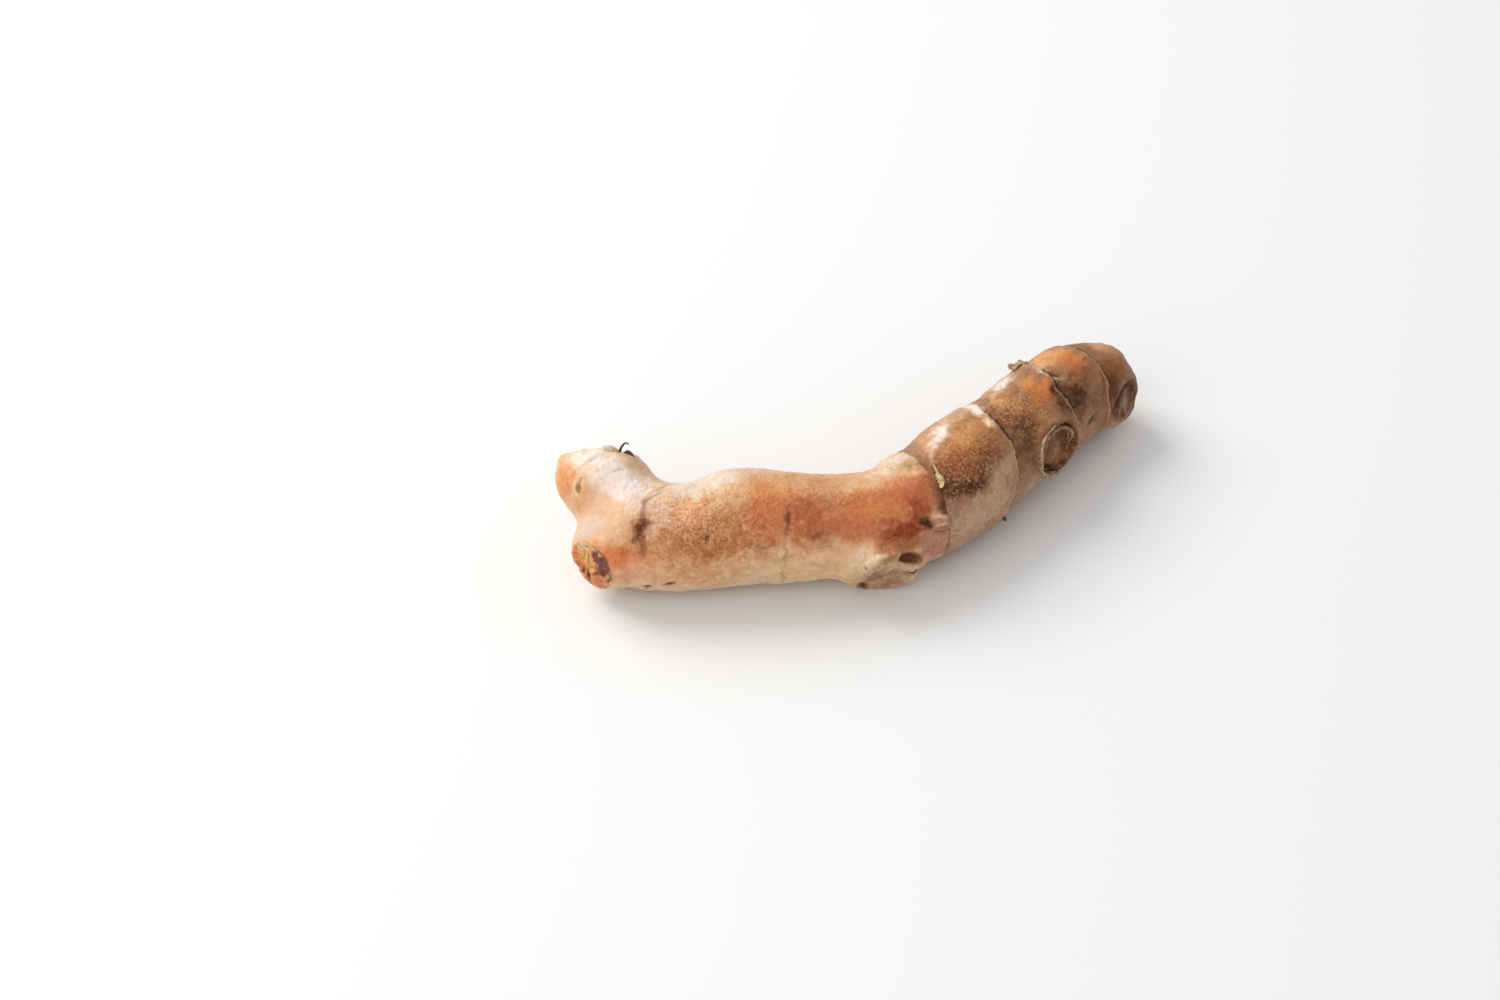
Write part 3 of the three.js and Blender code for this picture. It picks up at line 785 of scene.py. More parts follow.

# Colour patches as (colour, place, wide, tall, turn, strength, hardness), laid one over the other. A place
# is a point on the skin for a mark that was picked on the photo.
MAIN_PATCHES = [
    ("amber", (-24.2, -11.9, 15.1), 10.3, 4.5, 0, 0.95, 1.5),
    ("tan", (-25.1, -6.8, 18.4), 5.9, 3.1, 0, 0.6, 1.2),
    # The cream and near-white patches over the short finger's top are partly its pale skin and partly a
    # painted highlight.
    ("cream", (-39.6, -2.3, 20.0), 6.2, 4.5, -28, 1.0, 1.6),
    ("cream", (-46.4, 2.3, 21.1), 2.4, 1.4, 30, 0.6, 1.2),
    ("painted_sheen", (-38.2, -3.2, 19.2), 4.8, 2.9, -20, 0.9, 1.5),
    ("cream", (-44.5, 1.5, 21.6), 3.6, 1.6, 30, 0.9, 1.3),
    ("painted_sheen", (-43.2, 1.6, 21.9), 1.4, 1.0, 0, 0.8, 1.2),
    ("painted_sheen", (-40.1, 0.1, 21.4), 1.7, 1.2, 0, 0.7, 1.2),
    # The olive patch along the short finger's right side is partly its olive skin and partly painted shade.
    ("olive", (-35.8, 2.2, 19.8), 2.6, 1.6, -38, 0.35, 1.3),
    ("rose", (-41.9, -5.3, 16.4), 4.1, 4.5, 15, 0.85, 1.4),
    ("peach", (-38.5, -9.0, 15.8), 2.1, 3.1, 10, 0.6, 1.2),
    ("bread", (-48.3, -0.1, 17.1), 1.9, 3.3, -8, 0.95, 2.0),
    ("orange", (-48.3, -0.4, 17.0), 1.6, 2.8, -8, 0.45, 1.5),
    ("honey", (-45.0, -3.2, 16.9), 1.0, 2.6, -12, 0.5, 1.2),
    ("lemon", (-45.6, -2.6, 17.4), 0.9, 1.9, -16, 0.35, 1.3),
    ("moss", (-45.0, -1.6, 19.5), 0.3, 0.7, -35, 0.6, 1.4),
    ("moss", (-45.6, -2.3, 18.0), 0.5, 0.9, -12, 1.0, 1.8),
    ("bread", (-44.3, -2.9, 18.1), 0.55, 1.7, -6, 0.6, 1.5),
    ("ochre", (-46.1, -2.8, 14.8), 0.5, 1.0, 20, 0.4, 1.4),
    ("haze", (-43.8, -8.0, 14.6), 2.8, 1.9, 20, 0.9, 1.5),
    ("apricot", (-41.8, -11.4, 13.5), 5.2, 0.9, -4, 0.6, 1.2),
    ("honey", (-34.2, -12.6, 14.4), 5.9, 1.0, 2, 0.6, 1.2),
    ("orange", (-39.3, -12.8, 12.3), 3.6, 1.8, -3, 1.1, 2.0),
    ("orange", (-35.8, -13.3, 11.8), 3.2, 2.1, -6, 1.0, 1.8),
    ("flame", (-37.8, -13.2, 11.8), 2.4, 1.0, -8, 0.25, 1.5),
    ("clay", (-36.6, -12.9, 7.6), 4.1, 1.4, 0, 0.8, 1.5),
    ("pink", (-32.1, -9.2, 17.7), 3.4, 3.8, 0, 0.9, 1.5),
    ("pink", (-35.1, -13.7, 11.0), 2.1, 1.4, 0, 0.5, 1.2),
    ("melon", (-26.1, -7.4, 18.3), 2.1, 2.1, 0, 0.95, 1.8),
    ("clay", (-24.2, -8.9, 17.6), 1.7, 1.7, 0, 0.4, 1.2),
    # The milk patches along the body's top are partly its pale skin and partly a painted sheen.
    ("milk", (-26.8, -2.5, 18.3), 6.2, 1.7, 0, 0.9, 1.5),
    ("milk", (-19.8, -0.4, 19.0), 5.2, 2.0, 8, 0.95, 1.6),
    ("clay", (-16.4, -1.3, 19.5), 2.8, 1.4, 0, 0.5, 1.2),
    ("apricot", (-13.3, -4.7, 19.4), 4.5, 1.4, 0, 1.0, 1.3),
    ("sand", (-10.0, -12.5, 9.0), 10.7, 2.2, 0, 0.85, 1.6),
    ("tan", (-26.8, -14.0, 8.3), 7.2, 1.6, 0, 0.7, 1.3),
    ("ochre", (-21.7, -9.6, 17.3), 1.5, 0.8, 10, 0.7, 1.2),
    ("ochre", (-24.4, -13.0, 13.2), 1.2, 0.7, 0, 0.75, 1.2),
    ("ochre", (-4.8, 1.1, 17.9), 0.9, 0.7, 0, 0.6, 1.2),
    ("copper", (-2.5, -7.8, 16.4), 14.5, 4.0, 1, 0.8, 2.2),
    ("russet", (-14.2, -8.7, 17.9), 3.6, 4.8, 0, 0.95, 2.0),
    ("apricot", (-13.6, -4.8, 19.3), 3.8, 1.1, 0, 0.6, 1.3),
    ("rust", (-7.3, -8.4, 17.4), 3.3, 4.8, 0, 0.85, 1.4),
    ("russet_brown", (-7.2, -8.4, 17.3), 2.2, 3.2, 0, 0.6, 1.3),
    ("russet_brown", (-22.3, -11.9, 15.0), 5.5, 2.6, 0, 0.3, 1.3),
    ("haze", (-15.5, -13.3, 7.4), 4.5, 1.6, 0, 0.35, 1.4),
    ("tan", (-5.2, -1.7, 18.8), 6.9, 1.6, 0, 0.8, 1.5),
    ("sand", (1.5, -1.6, 18.5), 4.1, 1.4, 0, 0.7, 1.3),
    ("russet", (1.3, -6.9, 17.1), 3.8, 3.4, 0, 0.9, 1.5),
    ("rust", (-3.6, -9.6, 15.7), 4.5, 2.2, 0, 0.7, 1.3),
    ("russet", (8.2, -4.3, 17.5), 5.9, 3.6, 8, 1.0, 2.0),
    ("brick", (11.9, -4.9, 16.3), 1.9, 3.1, -12, 0.75, 1.4),
    ("brick", (8.7, -8.4, 13.5), 4.1, 2.8, 12, 0.95, 1.6),
    ("rust", (3.1, -9.0, 14.7), 3.1, 1.7, 0, 0.6, 1.2),
    ("rust", (11.1, -2.6, 18.0), 2.4, 3.1, -20, 0.5, 1.3),
    ("rust", (12.5, -2.8, 17.7), 1.6, 2.9, 0, 0.5, 1.6),
    ("umber", (-5.0, -10.5, 14.7), 2.1, 1.0, 0, 0.5, 1.3),
    # The shell, cream and haze patches on the body's top near the joint are partly pale skin and partly a
    # painted sheen.
    ("shell", (8.4, 3.8, 18.4), 5.2, 1.7, 17, 0.9, 1.5),
    ("cream", (6.2, 1.7, 18.3), 2.4, 0.9, 10, 0.4, 1.3),
    ("olive", (9.6, 1.9, 18.9), 1.9, 0.8, 10, 0.8, 1.4),
    ("cream", (9.9, 4.6, 18.5), 2.6, 0.9, 10, 0.9, 1.6),
    ("haze", (8.4, 3.9, 18.4), 3.2, 1.3, 10, 0.5, 1.4),
    ("moss", (9.9, 2.0, 19.0), 1.2, 0.5, 5, 0.35, 1.4),
    ("clay", (12.2, 3.6, 19.0), 0.9, 1.8, 20, 0.7, 1.4),
    ("tan", (10.1, 2.2, 19.0), 1.0, 0.7, 0, 0.5, 1.3),
    ("shell", (13.2, 4.7, 19.2), 1.2, 1.4, 0, 0.8, 1.3),
    ("taupe", (6.4, -9.8, 4.6), 5.2, 3.0, 20, 0.9, 2.2),
    ("dusk", (8.0, -10.6, 5.4), 3.0, 1.8, 20, 0.4, 1.3),
    ("sand", (-0.2, -11.5, 7.9), 2.1, 2.8, -20, 0.8, 1.3),
    # The shell and cream streak on the knob's upper left is partly pale skin and partly a painted sheen.
    ("shell", (1.8, -11.7, 11.1), 1.4, 3.1, -40, 0.8, 1.6),
    ("cream", (4.6, -12.5, 11.2), 2.6, 0.7, 24, 0.8, 1.3),
    ("russet_brown", (9.6, -10.0, 11.9), 3.2, 1.1, 8, 0.85, 1.5),
    ("russet_brown", (7.0, -11.2, 12.2), 2.4, 0.8, 14, 0.6, 1.4),
    ("olive", (4.9, -12.4, 10.3), 1.9, 0.7, 28, 0.7, 1.2),
    ("moss", (5.6, -12.4, 10.4), 1.2, 0.4, 25, 0.6, 1.4),
    ("umber", (7.0, -12.0, 11.0), 1.6, 0.6, 20, 0.6, 1.4),
    ("umber", (5.3, -10.2, 5.0), 1.9, 0.5, 22, 0.6, 1.4),
    # These two coffee dots are partly the pits' brown and partly painted shade in them.
    ("coffee", (2.8, -12.3, 9.3), 0.22, 0.22, 0, 0.8, 1.5),
    ("coffee", (2.5, -11.4, 7.1), 0.22, 0.22, 0, 0.8, 1.5),
    ("mauve", (14.1, -7.1, 10.4), 2.8, 3.1, -15, 1.0, 2.6),
    ("russet_brown", (13.3, -2.4, 17.6), 1.6, 2.8, 4, 0.7, 1.8),
    # The umber and coffee patches at the body's end are painted shade in the crease at the joint.
    ("umber", (15.0, -3.0, 16.6), 1.0, 2.6, 6, 0.95, 2.0),
    ("coffee", (15.6, -3.9, 15.1), 0.9, 1.3, 10, 0.8, 1.8),
    ("mauve", (15.4, -5.7, 13.3), 1.7, 1.2, 0, 1.0, 3.0),
    ("umber", (15.4, -5.7, 13.3), 1.5, 1.0, 0, 0.3, 2.0),
    # The chestnut patch is partly the pit's brown and partly painted shade in it.
    ("chestnut", (12.9, -6.4, 14.0), 1.25, 1.0, 5, 0.95, 2.4),
    ("taupe", (9.8, -12.1, 8.8), 1.6, 0.8, 0, 0.8, 1.8),
    # Partly the pit's brown and partly painted shade in it.
    ("coffee", (2.6, -8.9, 1.5), 0.8, 0.5, 20, 0.8, 1.3),
    ("honey", (-32.6, -12.3, 15.2), 2.4, 0.7, 0, 0.7, 1.4),
    ("honey", (-30.7, -11.3, 16.3), 1.0, 0.7, 0, 0.5, 1.3),
    ("stain", (-34.6, -7.0, 17.9), 0.4, 1.6, -10, 0.5, 1.3),
    ("stain", (-34.9, -11.1, 16.0), 1.3, 1.4, -10, 0.85, 1.3),
    ("stain", (-34.6, -9.6, 17.1), 1.0, 1.5, -10, 0.85, 1.3),
    ("coffee", (-35.0, -10.6, 16.4), 0.5, 1.5, -14, 0.5, 1.4),
    ("stain", (-35.8, -11.5, 15.2), 0.7, 0.6, 0, 0.8, 1.4),
    ("stain", (-33.6, -9.9, 17.1), 0.7, 0.4, 0, 0.5, 1.4),
    ("umber", (-35.1, -12.0, 14.7), 1.2, 0.5, 0, 0.8, 1.4),
    ("umber", (-34.6, -12.8, 13.9), 0.6, 1.4, 0, 0.7, 1.4),
    # Partly the pit's brown and partly painted shade in it.
    ("coffee", (-23.9, -11.6, 15.4), 0.33, 0.4, 0, 0.9, 1.5),
    ("russet_brown", (-10.1, -8.6, 17.6), 0.9, 1.6, 4, 0.8, 1.8),
    ("stain", (-10.2, -8.9, 17.3), 0.4, 0.9, 4, 0.6, 1.4),
    # These two are partly the pits' brown and partly painted shade in them.
    ("coffee", (-33.8, -13.1, 5.3), 0.7, 0.28, 0, 0.9, 1.5),
    ("coffee", (-30.3, -14.0, 7.0), 1.0, 0.26, 12, 0.8, 1.5),
]
STUB_PATCHES = [
    ("sun_warm", (-43.8, -10.3, 8.6), 5.0, 4.6, 0, 0.95, 3.0),
    ("shell", (-44.8, -9.6, 11.4), 1.6, 0.7, -25, 0.95, 1.6),
    ("flame", (-46.4, -8.3, 8.5), 1.0, 1.0, 0, 0.7, 1.5),
    ("bread", (-45.7, -8.8, 10.2), 0.8, 0.4, 20, 0.9, 1.4),
    ("lemon", (-44.2, -9.8, 9.3), 0.7, 0.7, 0, 0.9, 1.5),
    ("ochre", (-43.4, -10.5, 9.0), 0.5, 1.0, 0, 0.7, 1.5),
    ("rust", (-45.5, -8.9, 6.2), 1.2, 1.0, -20, 0.95, 1.8),
    ("stain", (-44.8, -9.3, 6.0), 0.4, 0.9, -30, 0.8, 1.5),
    ("lemon", (-45.9, -8.7, 5.9), 0.4, 0.5, -20, 0.7, 1.4),
    ("lemon", (-45.3, -9.3, 4.7), 0.7, 0.35, 10, 0.95, 1.5),
    ("lemon", (-47.0, -8.0, 6.9), 0.4, 0.3, 0, 0.8, 1.4),
    ("stain", (-43.9, -10.1, 5.4), 0.4, 0.9, -10, 0.8, 1.5),
    ("copper", (-42.6, -11.2, 5.0), 2.0, 1.2, 0, 0.8, 2.0),
    ("plum", (-42.6, -11.5, 11.3), 0.4, 0.9, 30, 0.9, 2.0),
    ("plum", (-41.3, -12.6, 9.4), 1.15, 1.6, 16, 1.8, 3.0),
    ("stain", (-42.1, -11.8, 7.6), 1.1, 0.35, 0, 0.9, 1.5),
    ("dusk", (-39.9, -14.0, 9.0), 0.7, 1.2, 10, 0.7, 1.6),
]
FINGER_PATCHES = [
    ("taupe", (22.1, -1.5, 11.5), 8.3, 4.1, 38, 0.95, 1.8),
    ("taupe", (26.3, 4.2, 14.6), 2.2, 5.2, -10, 0.8, 1.5),
    ("mauve", (13.6, 4.6, 19.2), 1.3, 2.2, 0, 0.6, 1.5),
    ("tan", (13.8, 10.3, 18.4), 2.2, 4.1, -38, 0.8, 1.5),
    ("honey", (19.8, 8.6, 19.7), 4.3, 3.1, 30, 0.95, 1.7),
    # The cream and near-white pair here is a painted highlight.
    ("cream", (15.5, 10.0, 19.1), 3.1, 1.0, 56, 0.9, 1.3),
    ("painted_sheen", (15.8, 10.0, 19.2), 2.1, 0.7, 56, 0.9, 1.2),
    ("sand", (19.5, 16.7, 18.1), 3.4, 0.9, 28, 0.6, 1.3),
    # A painted highlight.
    ("painted_sheen", (22.3, 17.0, 18.8), 1.6, 0.9, -18, 1.0, 1.8),
    ("orange", (23.4, 12.8, 19.4), 1.7, 1.2, 0, 0.5, 1.2),
    ("ochre", (22.4, 8.5, 19.3), 2.1, 1.6, 0, 0.7, 1.3),
    ("russet_brown", (18.1, 2.9, 18.8), 4.1, 2.6, -10, 0.85, 1.4),
    # Painted shade beside the crease at the joint.
    ("coffee", (17.1, -0.9, 17.4), 2.2, 1.9, 0, 0.6, 1.5),
    ("coffee", (21.1, 0.4, 16.0), 2.4, 1.5, 25, 0.8, 1.5),
    # These three are painted shade in and beside the crease at the joint.
    ("coffee", (17.6, -2.0, 16.3), 1.4, 1.0, 10, 0.5, 1.4),
    ("umber", (15.2, -3.2, 16.2), 0.9, 2.2, 10, 0.8, 1.5),
    ("coffee", (15.7, -3.8, 15.2), 0.5, 1.6, 10, 0.6, 1.4),
    ("mauve", (18.5, -2.4, 15.4), 2.3, 1.1, 10, 0.6, 1.4),
    ("umber", (23.9, 6.8, 18.3), 3.0, 2.0, -20, 0.5, 1.3),
    ("mauve", (24.3, 9.3, 18.8), 2.0, 1.6, -20, 0.5, 1.3),
    ("shell", (14.0, 4.4, 19.3), 0.4, 1.9, 10, 0.6, 1.4),
    ("coffee", (23.2, 2.9, 16.5), 1.7, 2.8, 0, 0.35, 1.2),
    ("cream", (24.1, 12.9, 19.3), 1.0, 0.7, -40, 0.9, 1.6),
    ("honey", (27.1, 19.6, 18.8), 4.7, 2.0, -32, 0.9, 1.3),
    ("umber", (30.8, 15.2, 17.8), 4.6, 1.6, -20, 0.5, 1.3),
    # The cream and near-white pair here is a painted highlight.
    ("cream", (27.5, 25.9, 17.4), 2.6, 1.0, 38, 0.8, 1.2),
    ("painted_sheen", (27.7, 26.2, 17.3), 1.6, 0.5, 38, 0.7, 1.3),
    ("sun", (33.4, 23.6, 18.5), 3.2, 2.1, -14, 1.0, 2.0),
    ("honey", (31.4, 24.7, 18.6), 2.1, 1.0, 0, 0.6, 1.3),
    ("orange", (35.5, 22.9, 18.0), 1.4, 1.4, -20, 0.8, 1.4),
    ("coffee", (31.1, 12.4, 16.1), 2.2, 4.1, 10, 0.6, 1.3),
    ("coffee", (36.6, 24.6, 18.0), 1.0, 1.4, -30, 0.8, 1.5),
    ("coffee", (37.6, 22.9, 17.1), 1.7, 1.7, -35, 0.7, 1.3),
    ("dusk", (32.7, 10.6, 8.1), 5.2, 1.6, 38, 0.8, 1.5),
    ("taupe", (32.5, 11.9, 5.5), 3.4, 1.7, 38, 0.8, 1.4),
    ("pink", (34.1, 29.8, 18.1), 1.6, 0.9, 10, 0.8, 1.4),
    ("apricot", (36.1, 32.8, 17.7), 3.4, 1.4, 10, 0.9, 1.4),
    ("honey", (37.8, 32.1, 18.1), 3.4, 1.6, -8, 0.7, 1.7),
    ("sun", (39.6, 31.2, 18.1), 2.4, 1.6, -8, 0.9, 1.7),
    ("rust", (41.0, 29.3, 17.7), 2.0, 1.4, -12, 0.8, 1.5),
    ("umber", (41.6, 28.7, 17.1), 1.9, 1.4, 0, 0.85, 1.5),
    ("coffee", (40.6, 24.2, 15.8), 2.8, 2.9, 0, 1.0, 1.5),
    ("bark", (40.2, 24.6, 16.2), 2.2, 1.8, 0, 0.3, 1.4),
    ("umber", (44.2, 25.1, 11.6), 1.9, 2.4, 30, 0.6, 1.3),
    ("dusk", (43.2, 23.9, 11.9), 1.0, 2.4, 20, 0.4, 1.4),
    ("cream", (34.3, 27.5, 18.5), 0.6, 0.3, 0, 0.8, 1.4),
    ("shell", (24.6, 13.0, 19.3), 0.5, 1.3, 35, 0.9, 1.5),
    ("tan", (45.3, 36.9, 16.6), 2.4, 1.0, -15, 0.8, 1.4),
    ("umber", (46.9, 31.8, 15.8), 2.3, 2.0, -36, 1.0, 1.5),
    ("coffee", (47.4, 29.2, 13.6), 1.2, 2.8, 15, 0.8, 1.4),
]
TIP_PATCHES = [
    ("coffee", (50.7, 32.4, 7.6), 3.0, 5.0, 5, 0.7, 3.0),
    ("taupe", (50.1, 31.7, 7.8), 0.5, 1.7, 8, 0.5, 1.5),
    # Partly the pit's brown and partly painted shade in it.
    ("bark", (51.1, 33.2, 10.0), 0.4, 0.5, 0, 0.7, 1.5),
]
SCAR_PATCHES = [
    ("umber", (37.0, 15.9, 11.6), 4.0, 4.4, 0, 0.95, 3.0),
    ("coffee", (36.3, 15.6, 14.0), 2.5, 2.2, 0, 0.7, 2.0),
    # The bark patch on the face's right is partly its dark brown and partly painted shadow in the hollow
    # there.
    ("bark", (38.9, 17.4, 10.8), 1.5, 3.0, 8, 0.85, 2.0),
    ("coffee", (34.9, 13.6, 12.4), 0.7, 2.4, 4, 0.7, 1.5),
    ("ochre", (36.0, 14.8, 12.0), 0.6, 1.6, 0, 0.45, 1.4),
    ("dusk", (38.3, 17.0, 12.0), 0.5, 0.5, 0, 0.5, 1.4),
    # These two bark patches are partly the hollows' brown and partly painted shade in them.
    ("bark", (35.6, 13.6, 8.4), 1.6, 0.5, 14, 0.9, 1.6),
    ("bark", (37.9, 16.0, 7.7), 0.5, 0.4, 0, 0.9, 1.6),
    ("clay", (36.6, 14.6, 7.0), 0.4, 0.3, 0, 0.7, 1.6),
    ("clay", (38.6, 16.6, 8.9), 0.3, 0.6, 10, 0.7, 1.6),
    ("clay", (32.8, 13.0, 12.4), 0.6, 3.4, 2, 0.6, 1.8),
]


def mixed(first, second, share):
    """A mix of two colours, or rows of them, by a share for each corner."""
    return first + share[:, None] * (np.asarray(second, float) - first)


def laid_over(colour, points, patches, seed, limit=None):
    """Lays patches over a colour: each mixes its own in by its strength and bell, whose edge is swayed by
    broad noise and broken into grains by fine noise, and by limit."""
    sway = drift(points, 3.2, seed) + 0.5 * drift(points, 1.3, seed + 6)
    fray = 0.75 * noise(points, 0.75, seed + 4) + 0.45 * noise(points, 1.7, seed + 5)
    for name, centre, wide, tall, turn, strength, hard in patches:
        moved = points + sway * (0.5 * min(wide, tall, 2.2))
        share = patch(moved, centre, wide, tall, turn, hard)
        share = np.clip(strength * (share + fray * share * (1.35 - share)), 0, 1)
        share = share if limit is None else share * limit
        colour = mixed(colour, PALETTE[name], share)
    return colour


def skin_base(points, normals, near, far, low, back):
    """The colour under the patches: near and far mixed by broad noise, low on the side that faces down, and
    back in cloudy spots on the side turned from the viewer."""
    colour = np.tile(np.array(near, float), (len(points), 1))
    colour = mixed(colour, far, rise(noise(points, 6.0, 70) + 0.4 * noise(points, 2.2, 71), -0.9, 0.9))
    away = rise(-normals @ TOWARD, -0.15, 0.35)
    for number, tone in enumerate(back):
        cloud = rise(noise(points, 7.0, 72 + number) + 0.3 * noise(points, 1.8, 76), 0.0, 0.45)
        colour = mixed(colour, PALETTE[tone], cloud * away * 0.65)
    down = rise(-normals[:, 2] * 0.8 - normals[:, 1] * 0.45 + 0.15 * noise(points, 3.5, 77), 0.35, 0.8)
    return mixed(colour, low, down * 0.9)


def line_marks(skin, points):
    """How far each corner lies from the nearest dark line, ring or seam, in millimetres, and how pale a thin
    raised edge makes it. A weaker line counts as further off. The dark lines are partly the rings' and
    seams' own brown and partly painted shade in their grooves, and the pale is partly dry skin and partly a
    painted highlight along the ring lips and raised edges."""
    dark = np.full(len(points), FAR)
    pale = np.zeros(len(points))
    for name, place in skin.places.items():
        for order, ring in enumerate(LIMBS[name].rings):
            gap = ring_gap(ring, place, 30 + order)
            strength = ring.strength(place.angle)
            off = (1 - skin.shares[name]) * 4 + (1 - strength) * 0.35
            width = 1 + 0.5 * noise(points, 1.1, 80 + order)
            dark = np.minimum(dark, np.abs(gap - 0.16) * width / np.maximum(strength, 0.8) + off)
            pale = np.maximum(pale, 0.35 * strength * bell(gap + 0.35, 0.25) * skin.shares[name])
    if "side_scar" in skin.places:
        out, left, upper = scar_rings(skin.places["side_scar"], points)
        off = (1 - skin.faces["side_scar"]) * 4
        dark = np.minimum(dark, np.abs(out - SCAR_CRACK - 0.05) + (1 - np.maximum(left, upper)) * 0.4 + off)
        pale = np.maximum(pale, 0.55 * left * bell(out - SCAR_OUTER - 0.1, 0.35) - off)
        pale = np.maximum(pale, 0.5 * upper * bell(out - SCAR_INNER, 0.2) - off)
    for width, _, darkness, path in SEAMS:
        gap, part = line_gap(points, path)
        ends = 0.5 * np.abs(2 * part - 1)**3
        if darkness > 0:
            dark = np.minimum(dark, gap * 0.35 / width + (1 - darkness) * 0.3 + ends)
        else:
            pale = np.maximum(pale, -darkness * bell(gap, width) * (1 - ends))
    return dark, pale


# How high the crease where two skins meet is filled, and how deep the dip along it is.
JOINT_FILL = 0.75
JOINT_DIP = 0.3


def joint_relief(others, points):
    """Beside the next limb: the crease between them is filled over the top, where the two run into each
    other, and less in front with a thin dip along it."""
    near = np.maximum(others, 0)
    top = rise(points[:, 2], 12.5, 17.0)
    fillet = JOINT_FILL * (0.35 + 0.65 * top) * np.exp(-(near / 1.1)**1.5)
    return fillet - JOINT_DIP * (1 - 0.7 * top) * bell(near, 0.35)


def grain_strength(points, patches):
    """How strongly the fine grain shows at each corner, from its own patches."""
    total = np.full(len(points), 0.35)
    for centre, wide, tall, turn, strength in patches:
        total += strength * patch(points, centre, wide, tall, turn, 1.3)
    return np.clip(total, 0.1, 1.6)


# Where the grain is stronger or weaker, as (place, wide, tall, turn, strength).
MAIN_GRAIN = [
    ((-24.0, -11.0, 15.5), 11.5, 6.0, 0, 0.95),
    ((-5.0, -4.0, 18.5), 9.0, 3.0, 0, 0.35),
    ((-39.6, -2.3, 20.0), 6.2, 5.5, -28, -0.25),
    ((-43.0, -7.0, 15.0), 4.5, 5.5, 0, -0.25),
    ((6.5, -10.0, 5.0), 5.0, 3.5, 20, 0.4),
]
FINGER_GRAIN = [
    ((18.5, 1.5, 17.9), 5.5, 5.5, 0, 0.8),
    ((23.5, 6.0, 18.3), 3.5, 3.5, 0, 0.6),
    ((29.0, 17.0, 18.6), 5.0, 4.0, -10, 1.0),
    ((45.0, 29.0, 14.5), 7.5, 9.0, 0, -0.2),
    ((24.0, 1.0, 12.5), 8.0, 3.5, 38, 0.1),
]


def give_values(mesh, name, values):
    attribute = mesh.attributes.new(name, "FLOAT", "POINT")
    attribute.data.foreach_set("value", values.astype(np.float32))


def linear(seen):
    """Colours as seen, from 0 to 255, as the linear values that shaders use."""
    part = np.clip(np.asarray(seen) / 255, 0, 1)
    return np.where(part <= 0.04045, part / 12.92, ((part + 0.055) / 1.055)**2.4)


def linear_colour(seen):
    """One colour as seen, from 0 to 255, as three linear values."""
    return tuple(linear(seen).tolist())


def give_colour(mesh, name, colour):
    rows = np.hstack([linear(colour), np.ones((len(colour), 1))]).astype(np.float32)
    attribute = mesh.attributes.new(name, "FLOAT_COLOR", "POINT")
    attribute.data.foreach_set("color", rows.ravel())


def dressed_skin(name, names, next_names, settings):
    """One skin: joined limbs, settled on their smooth join and given their relief. Returns the piece, its
    skin and its corners and normals before the relief."""
    mesh = joined_limbs(name, [LIMBS[each] for each in names], settings.voxel)
    settle(mesh, names)
    points = read_points(mesh)
    normals = read_normals(mesh)
    skin = Skin(names, points)
    others = Skin(next_names, points).gap
    height = settings.relief * skin_relief(skin, points) + joint_relief(others, points)
    moved = points + height[:, None] * normals
    moved[:, 2] = np.maximum(moved[:, 2], SHIFT[2])
    write_points(mesh, moved)
    mesh.shade_smooth()
    piece = placed(name, mesh)
    dark, pale = line_marks(skin, points)
    # Along the crease where this skin meets the next, a dark line that is stronger low down: painted shade
    # in the crease.
    top = rise(points[:, 2], 13.5, 18.0)
    seam = 0.14 + 0.3 * top + np.maximum(others, 0) * 0.8 + 0.12 * noise(points, 1.2, 88)
    give_values(mesh, "dark_gap", np.minimum(dark, seam))
    give_values(mesh, "pale_edge", pale)
    flesh = sum(skin.faces[each] * skin.shares[each] for each in names)
    give_values(mesh, "flesh", np.maximum(flesh, skin.cut))
    return piece, skin, points, normals


